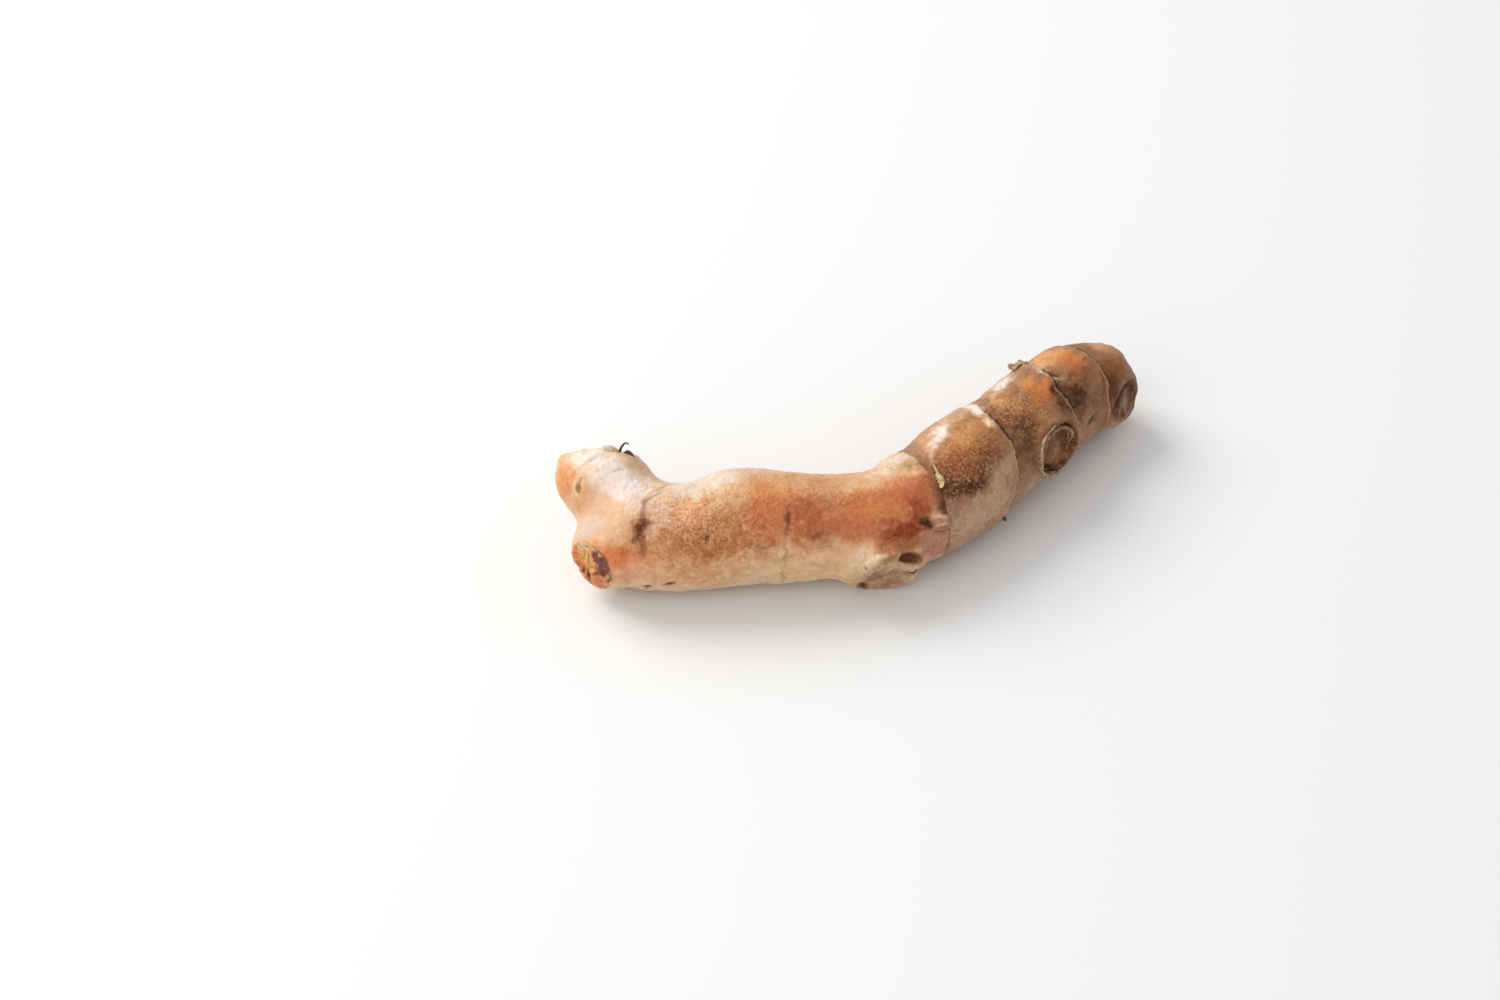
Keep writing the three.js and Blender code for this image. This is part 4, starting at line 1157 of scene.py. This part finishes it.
class Nodes:
    """Short ways to add nodes to a material's or group's tree."""

    def __init__(self, tree):
        self.tree = tree

    def add(self, kind, **inputs):
        node = self.tree.nodes.new(kind)
        for key, value in inputs.items():
            setattr(node, key, value)
        return node

    def put(self, value, socket):
        if isinstance(value, bpy.types.NodeSocket):
            self.tree.links.new(value, socket)
        else:
            socket.default_value = value

    def math(self, operation, first, second, clamp=False):
        node = self.add("ShaderNodeMath", operation=operation, use_clamp=clamp)
        self.put(first, node.inputs[0])
        self.put(second, node.inputs[1])
        return node.outputs[0]

    def times(self, first, second, clamp=False):
        return self.math("MULTIPLY", first, second, clamp)

    def plus(self, first, second, clamp=False):
        return self.math("ADD", first, second, clamp)

    def mix(self, share, first, second, blend="MIX"):
        """Mixes two colours, each a socket or three linear values."""
        node = self.add("ShaderNodeMix", data_type="RGBA", blend_type=blend)
        self.put(share, node.inputs["Factor"])
        for colour, name in ((first, "A"), (second, "B")):
            self.put(colour if isinstance(colour, bpy.types.NodeSocket) else (*colour, 1), node.inputs[name])
        return node.outputs["Result"]

    def ramp(self, value, low, high, to_low=0.0, to_high=1.0):
        """Rises smoothly from to_low to to_high as value goes from low to high."""
        node = self.add("ShaderNodeMapRange", interpolation_type="SMOOTHSTEP")
        for number, each in enumerate((value, low, high, to_low, to_high)):
            self.put(each, node.inputs[number])
        return node.outputs[0]

    def noise(self, vector, size, detail, rough, sway=0.0):
        """Noise of about 0 to 1 with lumps of size, in millimetres."""
        node = self.add("ShaderNodeTexNoise", noise_dimensions="3D")
        self.put(vector, node.inputs["Vector"])
        node.inputs["Scale"].default_value = 1 / (size * MM)
        node.inputs["Detail"].default_value = detail
        node.inputs["Roughness"].default_value = rough
        node.inputs["Distortion"].default_value = sway
        return node.outputs["Fac"]

    def stored(self, name, output="Fac"):
        """A value stored on the mesh's corners, or a colour with output Color."""
        node = self.add("ShaderNodeAttribute", attribute_type="GEOMETRY", attribute_name=name)
        return node.outputs[output]

    def bump(self, height, strength, depth, shader):
        """Lets height, from 0 to 1, raise the shader's surface by up to depth, in millimetres."""
        node = self.add("ShaderNodeBump")
        node.inputs["Strength"].default_value = strength
        node.inputs["Distance"].default_value = depth * MM
        self.put(height, node.inputs["Height"])
        self.put(node.outputs["Normal"], shader.inputs["Normal"])

    def group_outputs(self, values):
        out = self.add("NodeGroupOutput")
        for name, value in values.items():
            self.put(value, out.inputs[name])


def grain_group():
    """A shader group for the skin's fine grain. Speckle is its light and dark dots, Light and Dark its
    granules on the tops and in the hollows of the relief: the skin paints the tops lighter, partly as pale
    grains and partly as painted glints, and the hollows darker as painted shade. Mottle and Clouds are broad
    and middling patchiness, Flecks are sparse spots, and Height is the relief."""
    group = bpy.data.node_groups.new("root_grain", "ShaderNodeTree")
    for name in ("Speckle", "Light", "Dark", "Mottle", "Clouds", "Flecks", "Height"):
        group.interface.new_socket(name, in_out="OUTPUT", socket_type="NodeSocketFloat")
    nodes = Nodes(group)
    place = nodes.add("ShaderNodeTexCoord").outputs["Object"]
    fine = nodes.noise(place, 0.32, detail=1, rough=0.5)
    curl = nodes.noise(place, 0.54, detail=2, rough=0.55, sway=0.2)
    mottle = nodes.noise(place, 3.4, detail=4, rough=0.6, sway=0.8)
    spots = nodes.noise(place, 1.7, detail=3, rough=0.6, sway=1.0)
    clouds = nodes.noise(place, 1.3, detail=2, rough=0.6, sway=0.8)
    both = nodes.plus(nodes.times(fine, 0.35), nodes.times(curl, 0.65))
    height = nodes.plus(nodes.times(fine, 0.4), nodes.times(curl, 0.9))
    nodes.group_outputs({
        "Speckle": nodes.ramp(both, 0.38, 0.62), "Light": nodes.ramp(both, 0.53, 0.67),
        "Dark": nodes.ramp(both, 0.49, 0.36), "Mottle": mottle, "Clouds": nodes.ramp(clouds, 0.52, 0.38),
        "Flecks": nodes.ramp(spots, 0.55, 0.64), "Height": height})
    return group


def shared_group(name, maker):
    """The shader group of that name, made once."""
    return bpy.data.node_groups.get(name) or maker()


def new_material(name):
    """A material with its own Principled shader, and the ways to add nodes to it."""
    material = bpy.data.materials.new(name)
    material.use_nodes = True
    tree = material.node_tree
    return material, Nodes(tree), tree.nodes["Principled BSDF"]


def skin_material(name, settings, shiny):
    """The root's skin. The mesh's tint is broken up by the grain, with painted shade in its hollows and
    lighter grains on its tops that are partly painted glints, then darkened along the lines, partly their
    own brown and partly painted shade in their grooves and the joint's crease.
    """
    material, nodes, shader = new_material(name)
    grain = nodes.add("ShaderNodeGroup", node_tree=shared_group("root_grain", grain_group)).outputs
    speckle, mottle, strength = grain["Speckle"], grain["Mottle"], nodes.stored("grain")
    colour = nodes.stored("tint", "Color")
    # The skin's colour under painted shade.
    hollow = nodes.mix(1.0, colour, linear_colour(PAINTED_SHADE_TINT), "MULTIPLY")
    cloudy = nodes.mix(1.0, colour, linear_colour(CLOUD_TINT), "MULTIPLY")
    colour = nodes.mix(nodes.times(nodes.ramp(mottle, 0.56, 0.42), strength, True), colour, cloudy)
    clouds = nodes.times(grain["Clouds"], nodes.times(strength, 0.6), True)
    colour = nodes.mix(clouds, colour, cloudy)
    # Painted shade in the grain's hollows.
    pits = nodes.times(grain["Dark"], nodes.times(strength, 0.62), True)
    colour = nodes.mix(pits, colour, hollow)
    # Lighter grains on the relief's tops: partly pale grains and partly painted glints.
    grains_and_glints = nodes.times(grain["Light"], nodes.times(strength, 0.42), True)
    colour = nodes.mix(grains_and_glints, colour, settings.spark)
    flecks = nodes.times(grain["Flecks"], nodes.ramp(mottle, 0.45, 0.6, 0.0, 0.22))
    colour = nodes.mix(flecks, colour, settings.fleck)
    # Pale edges are partly dry skin and partly a painted highlight along the ring lips and raised edges.
    pale = nodes.times(nodes.stored("pale_edge"), nodes.ramp(speckle, 0.1, 0.6, 0.5, 1.0))
    colour = nodes.mix(pale, colour, settings.edge)
    uneven = nodes.times(nodes.math("SUBTRACT", mottle, 0.5), 0.3)
    gap = nodes.plus(nodes.stored("dark_gap"), uneven)
    # The dark line along rings and seams is partly their own brown and partly painted shade in their grooves
    # and the joint's crease; round it lies a broad painted shade.
    line = nodes.times(nodes.ramp(gap, 0.06, 0.42, 1.0, 0.0), 0.82)
    shade = nodes.times(nodes.ramp(gap, 0.1, 1.1, 1.0, 0.0), 0.28)
    colour = nodes.mix(shade, colour, hollow)
    colour = nodes.mix(line, colour, settings.line)
    nodes.put(colour, shader.inputs["Base Color"])

    bright = nodes.add("ShaderNodeRGBToBW")
    nodes.put(colour, bright.inputs["Color"])
    nodes.put(nodes.ramp(bright.outputs["Val"], 0.03, 0.2, 0.12, 0.5), shader.inputs["Specular IOR Level"])
    dusty = nodes.times(nodes.stored("flesh"), 0.15)
    rough = nodes.plus(nodes.ramp(speckle, 0, 1, shiny + 0.12, shiny), dusty, True)
    nodes.put(rough, shader.inputs["Roughness"])
    nodes.bump(nodes.times(grain["Height"], nodes.plus(strength, 0.2)), 0.9, 0.3, shader)
    shader.inputs["Subsurface Weight"].default_value = 0.1
    shader.inputs["Subsurface Radius"].default_value = (1.0, 0.45, 0.25)
    shader.inputs["Subsurface Scale"].default_value = 0.9 * MM
    shader.inputs["IOR"].default_value = 1.42
    return material


def scrap_material(name, light, dark):
    """Dry papery scraps: two tones streaked by noise, dull and finely rough."""
    material, nodes, shader = new_material(name)
    grain = nodes.add("ShaderNodeGroup", node_tree=shared_group("root_grain", grain_group)).outputs
    streaks = nodes.ramp(grain["Mottle"], 0.4, 0.6, -0.15, 0.25)
    share = nodes.plus(nodes.times(grain["Speckle"], 0.7), streaks, True)
    colour = nodes.mix(share, linear_colour(dark), linear_colour(light))
    nodes.put(colour, shader.inputs["Base Color"])
    nodes.bump(grain["Height"], 0.8, 0.14, shader)
    shader.inputs["Roughness"].default_value = 0.62
    return material


def surface(names, points):
    """How far points lie above the finished skin."""
    skin = Skin(names, points)
    return skin.gap - skin_relief(skin, points)


def upright(names, points):
    """The direction straight out of the smooth skin at points, from its gap's slope."""
    steps = 0.05 * np.eye(3)
    slope = [Skin(names, points + step).gap - Skin(names, points - step).gap for step in steps]
    return unit(np.stack(slope, axis=1))


def on_skin(names, points, steps=6):
    """Points moved straight to the finished skin, with the directions out of it."""
    for _ in range(steps):
        out = upright(names, points)
        points = points - np.clip(surface(names, points), -1.5, 1.5)[:, None] * out
    return points, upright(names, points)


# How thick a flake is, and by what share of its width its edges are frayed.
FLAKE_THICKNESS = 0.1
FLAKE_FRAY = 0.35


def flake(name, names, path, widths, lift, curl, seed):
    """A torn flake on the skin: a strip along a path, whose width runs through widths and whose far edge
    rises by curl times the square of the distance across it. Its edges are frayed by noise."""
    rows, columns = 30, 9
    curve = spline(np.array(path, float), rows)
    centre, out = on_skin(names, curve)
    ahead = unit(np.gradient(centre, axis=0))
    aside = unit(np.cross(out, ahead))
    part = np.linspace(0, 1, rows)
    width = np.interp(part, np.linspace(0, 1, len(widths)), widths)
    line = np.stack([part * 9, part * 0, part * 0], axis=1)
    width = width * (1 + FLAKE_FRAY * noise(line, 0.7, seed)) + 0.05
    across = np.linspace(-0.5, 0.5, columns)
    rise_by = lift + curl * (across + 0.5)**2
    points = (centre[:, None] + aside[:, None] * (width[:, None] * across)[..., None]
              + out[:, None] * rise_by[None, :, None])
    points = points.reshape(-1, 3)
    crumple = 0.12 * noise(points, 0.6, seed + 1) + 0.08 * noise(points, 0.3, seed + 2)
    points = points + np.repeat(out, columns, axis=0) * crumple[:, None]
    piece = smooth_piece(name, points, grid_faces(rows, columns, closed=False).tolist())
    solid = piece.modifiers.new("thickness", "SOLIDIFY")
    solid.thickness = FLAKE_THICKNESS * MM
    solid.offset = 0
    return piece


# A direction that no tube runs along.
OBLIQUE = (0.31, 0.52, 0.79)


def tube(name, curve, radii, sectors=9):
    """A closed tube: circles of radii carried along a curve, with flat ends."""
    ahead = unit(np.gradient(curve, axis=0))
    side = unit(np.cross(ahead, OBLIQUE))
    up = np.cross(side, ahead)
    angle = np.arange(sectors) * 2 * math.pi / sectors
    around = side[:, None] * np.cos(angle)[:, None] + up[:, None] * np.sin(angle)[:, None]
    points = (curve[:, None] + around * np.asarray(radii)[:, None, None]).reshape(-1, 3)
    faces = grid_faces(len(curve), sectors)[:, ::-1].tolist()
    last = (len(curve) - 1) * sectors
    faces.append(list(range(sectors)))
    faces.append([last + i for i in reversed(range(sectors))])
    return smooth_piece(name, points, faces)


# How deep a rootlet's stump starts under the skin.
NUB_ROOT = 0.4


def nub(name, names, place, lean, length, radius):
    """A rootlet's stump: a short tube that stands out of the skin, leans, and narrows to a blunt tip."""
    start, out = on_skin(names, np.array([place], float))
    direction = unit(out[0] + np.array(lean, float))
    part = np.linspace(0, 1, 8)
    curve = start[0] - NUB_ROOT * out[0] + part[:, None] * (length + NUB_ROOT) * direction
    bend = 0.12 * np.stack([np.sin(part * 4), np.cos(part * 3), np.sin(part * 2)], axis=1)
    radii = radius * (1 - 0.35 * part) * np.sqrt(np.clip(1.05 - part**6, 0.05, 1))
    return tube(name, curve + bend * part[:, None], radii)


def rim(name, limb, along, reach, heights, thick, lean, seed):
    """A torn rim round a broken face: an upright ellipse carried round a circle of reach about the limb's
    end. Its height runs through heights by angle in degrees and is frayed by noise."""
    rows, columns = 120, 10
    angle = np.arange(rows) * 2 * math.pi / rows
    high = by_angle(heights, angle)
    track = np.stack([np.cos(angle), np.sin(angle), angle * 0], axis=1) * 5
    high = high * (1 + 0.35 * noise(track, 0.9, seed) + 0.25 * noise(track, 0.35, seed + 1)) + 0.06
    wander = reach + 0.14 * noise(track, 1.6, seed + 2)
    centre, forward = limb.centre[-1], limb.forward[-1]
    side, up = limb.side[-1], limb.up[-1]
    spoke = side * np.cos(angle)[:, None] + up * np.sin(angle)[:, None]
    turn = np.arange(columns) * 2 * math.pi / columns
    out = wander[:, None] + thick * np.cos(turn) * np.minimum(1, high[:, None] * 2 + 0.2)
    sunk = 0.9 * (1 - rise(high, 0.05, 0.45))
    forth = along - sunk[:, None] + high[:, None] * np.sin(turn)
    out = out + lean * high[:, None] * np.sin(turn)
    points = centre + spoke[:, None] * out[..., None] + forward * forth[..., None]
    return smooth_piece(name, points.reshape(-1, 3), grid_faces(rows, columns, ring=True).tolist())


def finished(piece, material, slot, *nodes):
    """Gives a piece its finish, and says what it rides on and stands for."""
    piece.data.materials.append(material)
    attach(piece, ROOT)
    if nodes:
        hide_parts(*nodes)
    return piece


class RootSettings(bpy.types.PropertyGroup):
    """Sizes and colours of the root's finish."""

    voxel: bpy.props.FloatProperty(
        name="Skin Detail", description="Spacing of the skin's corners", default=0.25 * MM, unit="LENGTH")
    relief: bpy.props.FloatProperty(
        name="Relief", description="Height of rings, pits and folds as a share of the real one", default=1.0)
    # The light dots are partly pale grains and partly painted glints.
    spark: bpy.props.FloatVectorProperty(
        name="Light Dots", description="Colour of the grain's light dots", subtype="COLOR",
        default=linear_colour((234, 184, 142)))
    fleck: bpy.props.FloatVectorProperty(
        name="Flecks", description="Colour of the sparse yellow flecks", subtype="COLOR",
        default=linear_colour((190, 140, 56)))
    # The thin edges' pale is partly dry skin and partly a painted highlight.
    edge: bpy.props.FloatVectorProperty(
        name="Edges", description="Colour of the thin dry edges", subtype="COLOR",
        default=linear_colour((232, 208, 172)))
    # Deep in rings and seams the colour is partly their own brown and partly painted shade.
    line: bpy.props.FloatVectorProperty(
        name="Lines", description="Colour deep in rings and seams", subtype="COLOR",
        default=linear_colour((70, 42, 28)))


class StudioSettings(bpy.types.PropertyGroup):
    """The camera and the lights."""

    lens: bpy.props.FloatProperty(name="Lens", description="Focal length in millimetres", default=85.0)
    elevation: bpy.props.FloatProperty(
        name="Elevation", description="How far the camera looks down", default=LOOK_DOWN, subtype="ANGLE")
    distance: bpy.props.FloatProperty(
        name="Distance", description="From the camera to the point that it aims at", default=0.61,
        unit="LENGTH")
    target: bpy.props.FloatVectorProperty(
        name="Target", description="The point that the camera aims at", default=(-0.0184, -0.0082, 0.0077),
        subtype="TRANSLATION", unit="LENGTH")
    key_power: bpy.props.FloatProperty(
        name="Main Light", description="Power of the light at the back left", default=6.1, unit="POWER")
    fill_power: bpy.props.FloatProperty(
        name="Fill Light", description="Power of the light at the front left", default=2.4, unit="POWER")
    warmth: bpy.props.FloatVectorProperty(
        name="Warmth", description="Colour of both lights", subtype="COLOR", default=(1.0, 0.955, 0.89))
    sky: bpy.props.FloatProperty(name="Sky", description="Strength of the pale sky", default=0.6)


def colour_skin(piece, skin, points, base, patches, faces, grains, seed):
    """Stores the tint and the grain's strength on a skin's corners."""
    colour = laid_over(base, points, patches, seed)
    if "lower_knob" in skin.faces:
        # The half-moon hole is painted dark brown and darkest under its upper edge: partly its flesh and
        # partly painted shade in the hole.
        hole = half_moon(points, *KNOB_HOLE)
        inner = rise(noise(points, 1.2, seed + 8) - 0.5 * (points[:, 2] - KNOB_HOLE[0][2]), -0.5, 0.6)
        colour = mixed(colour, PALETTE["chestnut"], 0.88 * hole)
        colour = mixed(colour, PALETTE["bracken"], 0.7 * hole * inner)
    for name, rows in faces:
        share = skin.faces[name] * skin.shares[name]
        colour = laid_over(colour, points, rows, seed + 9, share)
        # The valleys between the torn lumps of broken faces are painted darker: painted shade in them.
        valley = rise(-face_lumps(points), 0.12, 0.32)
        colour = mixed(colour, PALETTE["umber"], 0.6 * valley * share * min(FACE_ROUGH[name], 1))
    give_colour(piece.data, "tint", colour)
    give_values(piece.data, "grain", grain_strength(points, grains))


class TURMERIC_OT_main_skin(bpy.types.Operator):
    """Make the skin of the bent body, its broken stub and knob, and the short finger"""

    bl_idname = "turmeric.main_skin"
    bl_label = "Body Skin"

    def execute(self, context):
        settings = context.scene.turmeric_root
        piece, skin, points, normals = dressed_skin("body_skin", MAIN_LIMBS, ["long_finger"], settings)
        base = skin_base(points, normals, *BODY_TONES)
        colour_skin(piece, skin, points, base, MAIN_PATCHES, [("left_stub", STUB_PATCHES)], MAIN_GRAIN, 90)
        material = skin_material("pale_root_skin", settings, 0.36)
        finished(piece, material, "pale_skin", "rhizome_body", "short_finger")
        return {"FINISHED"}


class TURMERIC_OT_finger_skin(bpy.types.Operator):
    """Make the skin of the long finger, with its side scar and the bud at its tip"""

    bl_idname = "turmeric.finger_skin"
    bl_label = "Long Finger Skin"

    def execute(self, context):
        settings = context.scene.turmeric_root
        piece, skin, points, normals = dressed_skin("long_finger_skin", FINGER_LIMBS, ["body"], settings)
        base = skin_base(points, normals, *FINGER_TONES)
        base = laid_over(base, points, FINGER_PATCHES, 120)
        base = laid_over(base, points, TIP_PATCHES, 130, skin.cut)
        colour_skin(piece, skin, points, base, [], [("side_scar", SCAR_PATCHES)], FINGER_GRAIN, 120)
        material = skin_material("weathered_root_skin", settings, 0.38)
        finished(piece, material, "weathered_skin", "long_finger")
        return {"FINISHED"}


class TURMERIC_OT_scraps(bpy.types.Operator):
    """Lay the dry flakes, fibres and rims that are left where leaves and shoots broke off"""

    bl_idname = "turmeric.scraps"
    bl_label = "Dry Scraps"

    def execute(self, context):
        straw, paper, cork, husk = (scrap_material(name, *tones) for name, tones in SCRAP_TONES.items())
        for piece in joint_scraps():
            finished(piece, straw, "weathered_skin")
        for piece in [ring_scrap(), *scar_rims()]:
            finished(piece, paper, "weathered_skin")
        finished(finger_cap(), cork, "pale_skin")
        for piece in finger_top_fibres():
            finished(piece, husk, "pale_skin")
        for piece in rootlets():
            finished(piece, husk, "weathered_skin")
        return {"FINISHED"}


def joint_scraps():
    """The straw-coloured flake along the joint of body and long finger: a thin tail and a crumpled end."""
    rows = [
        ("joint_flake_tail", [(14.4, 2.6, 19.2), (14.6, 1.8, 19.0), (15.0, 0.9, 18.7)],
         [0.15, 0.35, 0.3], 0.15, 0.2, 200),
        ("joint_flake_mid", [(14.8, 1.0, 18.7), (14.9, 0.3, 18.4), (15.0, -0.4, 18.1)],
         [0.3, 0.7, 0.9], 0.2, 0.4, 203),
        ("joint_flake_end", [(14.8, 0.1, 18.3), (15.2, -0.5, 18.1), (15.3, -1.1, 17.8), (14.9, -1.9, 17.3)],
         [0.5, 1.1, 0.8, 0.2], 0.4, 0.5, 206),
    ]
    return [flake(name, MAIN_LIMBS + FINGER_LIMBS, *rest) for name, *rest in rows]


def ring_scrap():
    """A scrap of leaf base that still sticks to the long finger's second ring."""
    path = [(29.4, 30.0, 16.6), (30.0, 31.2, 16.2), (31.0, 32.6, 16.0), (31.9, 33.9, 15.6)]
    return flake("ring_scrap", FINGER_LIMBS, path, [0.6, 1.8, 2.0, 1.2], 0.3, 0.9, 210)


# How many circles the short finger's dry cap is made of.
CAP_CIRCLES = 28


def finger_cap():
    """The dry cap on the short finger's broken top."""
    path = [(-42.2, 3.8, 20.4), (-41.3, 4.2, 20.7), (-40.4, 4.3, 20.8), (-39.6, 4.2, 20.6),
            (-39.0, 4.0, 20.2)]
    middle = spline(np.array(path), CAP_CIRCLES)
    parts = np.linspace(0, 1, CAP_CIRCLES)
    girth = np.interp(parts, [0, 0.25, 0.6, 0.85, 1], [0.3, 0.95, 0.9, 0.65, 0.2])
    girth = girth * (1 + 0.1 * noise(middle, 0.9, 236))
    return tube("finger_cap", middle + 0.15 * drift(middle, 1.4, 230), girth, 16)


def finger_top_fibres():
    """Dark fibres that curl up from the short finger's broken top. Each has a number of circles, radii at
    some shares of its length, and a path."""
    rows = [
        ("finger_fibre_hook", 18, [0, 1], [0.3, 0.1],
         [(-38.9, 3.9, 20.1), (-38.8, 4.2, 20.7), (-38.5, 4.5, 21.3), (-38.1, 4.8, 21.8), (-37.6, 4.9, 22.0),
          (-37.2, 4.8, 21.7)]),
        ("finger_fibre_under", 12, [0, 0.4, 1], [0.1, 0.25, 0.12],
         [(-41.2, 3.2, 20.2), (-40.3, 3.1, 20.5), (-39.4, 3.3, 20.4), (-38.6, 3.7, 20.1)]),
        ("finger_fibre_edge", 14, [0, 0.3, 1], [0.15, 0.32, 0.1],
         [(-38.0, 4.2, 20.4), (-37.4, 4.1, 20.7), (-36.7, 3.8, 20.4), (-36.2, 3.3, 19.6)]),
    ]
    return [tube(name, spline(np.array(path), count), np.interp(np.linspace(0, 1, count), parts, radii))
            for name, count, parts, radii, path in rows]


def scar_rims():
    """The torn rims round the side scar: a thick one at its left, and a thin one that runs over the top.
    Each has its height by angle, and its reach, thickness, lean and seed."""
    outer = [(-95, 0.0), (-75, 0.6), (-40, 0.9), (0, 1.1), (45, 0.9), (75, 0.5), (100, 0.1), (130, 0.0),
             (265, 0.0)]
    inner = [(-60, 0.0), (-30, 0.5), (30, 0.8), (75, 0.7), (120, 0.5), (165, 0.35), (190, 0.1), (210, 0.0),
             (300, 0.0)]
    return [
        rim("scar_rim_outer", LIMBS["side_scar"], -0.2, 5.0, outer, 0.2, 0.3, 240),
        rim("scar_rim_inner", LIMBS["side_scar"], -0.2, 4.15, inner, 0.09, 0.1, 250),
    ]


def rootlets():
    """Stumps of rootlets at the long finger's rings, and a few on the hidden sides. Each has a place, a
    lean, a length and a radius."""
    rows = [
        ("ring_nub", FINGER_LIMBS, (26.6, 3.6, 6.4), (0.2, -0.4, -0.2), 0.7, 0.45),
        ("scar_nub", FINGER_LIMBS, (40.7, 20.9, 6.8), (0.3, -0.3, -0.2), 0.8, 0.4),
        ("back_nub_low", FINGER_LIMBS, (16.0, 19.0, 7.0), (-0.3, 0.3, -0.3), 0.8, 0.45),
        ("back_nub_high", FINGER_LIMBS, (33.0, 36.0, 10.0), (-0.2, 0.4, 0.1), 0.7, 0.4),
        ("body_nub", MAIN_LIMBS, (-12.0, 6.5, 8.0), (0.1, 0.4, -0.3), 0.7, 0.4),
    ]
    return [nub(*row) for row in rows]


class TURMERIC_OT_stage(bpy.types.Operator):
    """Lay a pale floor, hang soft lights and place the camera"""

    bl_idname = "turmeric.stage"
    bl_label = "Stage"

    def execute(self, context):
        studio = context.scene.turmeric_studio
        make_floor()
        make_camera(studio)
        make_lights(studio)
        return {"FINISHED"}


def make_floor():
    """A flat square, four metres wide, at the height that the root lies on."""
    half = 2000.0
    corners = [(-half, -half, 0), (half, -half, 0), (half, half, 0), (-half, half, 0)]
    floor = placed("floor", mesh_from("floor", np.array(corners) + SHIFT, [(0, 1, 2, 3)]))
    material, _, shader = new_material("pale_floor")
    shader.inputs["Base Color"].default_value = (0.84, 0.865, 0.9, 1)
    shader.inputs["Roughness"].default_value = 0.7
    floor.data.materials.append(material)


def make_camera(studio):
    """A camera on a ring round the target, looking along +Y and down by the elevation."""
    data = bpy.data.cameras.new("camera")
    data.lens = studio.lens
    data.sensor_width = 36.0
    data.clip_start = 0.02
    data.clip_end = 20.0
    camera = placed("camera", data)
    back = np.array([0.0, -math.cos(studio.elevation), math.sin(studio.elevation)])
    camera.location = np.array(studio.target) + studio.distance * back
    camera.rotation_euler = (math.pi / 2 - studio.elevation, 0.0, 0.0)
    bpy.context.scene.camera = camera


def make_lights(studio):
    """Two wide soft lights aimed at the root, under a pale sky."""
    for name, power, width, place in (
        ("main_light", studio.key_power, 0.6, (-0.55, 0.4, 0.65)),
        ("fill_light", studio.fill_power, 0.8, (-0.5, -0.6, 0.5)),
    ):
        data = bpy.data.lights.new(name, "AREA")
        data.energy = power
        data.color = studio.warmth
        data.size = width
        light = placed(name, data)
        light.location = place
        aim = -np.array(place)
        light.rotation_euler = (
            math.acos(-aim[2] / np.linalg.norm(aim)), 0.0, math.atan2(aim[1], aim[0]) - math.pi / 2)
    world = bpy.data.worlds.new("pale_sky")
    world.use_nodes = True
    background = world.node_tree.nodes["Background"]
    background.inputs["Color"].default_value = (1.0, 0.985, 0.955, 1)
    background.inputs["Strength"].default_value = studio.sky
    bpy.context.scene.world = world
    bpy.context.scene.view_settings.view_transform = "Standard"


class TURMERIC_PT_panel(bpy.types.Panel):
    """Lists the settings and the pieces of the root"""

    bl_label = "Turmeric Root"
    bl_idname = "TURMERIC_PT_panel"
    bl_space_type = "VIEW_3D"
    bl_region_type = "UI"
    bl_category = "Turmeric"

    def draw(self, context):
        layout = self.layout
        for name in RootSettings.__annotations__:
            layout.prop(context.scene.turmeric_root, name)
        layout.operator("turmeric.main_skin")
        layout.operator("turmeric.finger_skin")
        layout.operator("turmeric.scraps")
        for name in StudioSettings.__annotations__:
            layout.prop(context.scene.turmeric_studio, name)
        layout.operator("turmeric.stage")


CLASSES = (RootSettings, StudioSettings, TURMERIC_OT_main_skin, TURMERIC_OT_finger_skin, TURMERIC_OT_scraps,
           TURMERIC_OT_stage, TURMERIC_PT_panel)


def register():
    for each in CLASSES:
        bpy.utils.register_class(each)
    bpy.types.Scene.turmeric_root = bpy.props.PointerProperty(type=RootSettings)
    bpy.types.Scene.turmeric_studio = bpy.props.PointerProperty(type=StudioSettings)


def unregister():
    del bpy.types.Scene.turmeric_studio
    del bpy.types.Scene.turmeric_root
    for each in reversed(CLASSES):
        bpy.utils.unregister_class(each)


def main():
    register()
    bpy.ops.turmeric.main_skin()
    bpy.ops.turmeric.finger_skin()
    bpy.ops.turmeric.scraps()
    bpy.ops.turmeric.stage()


if __name__ == "__main__":
    main()
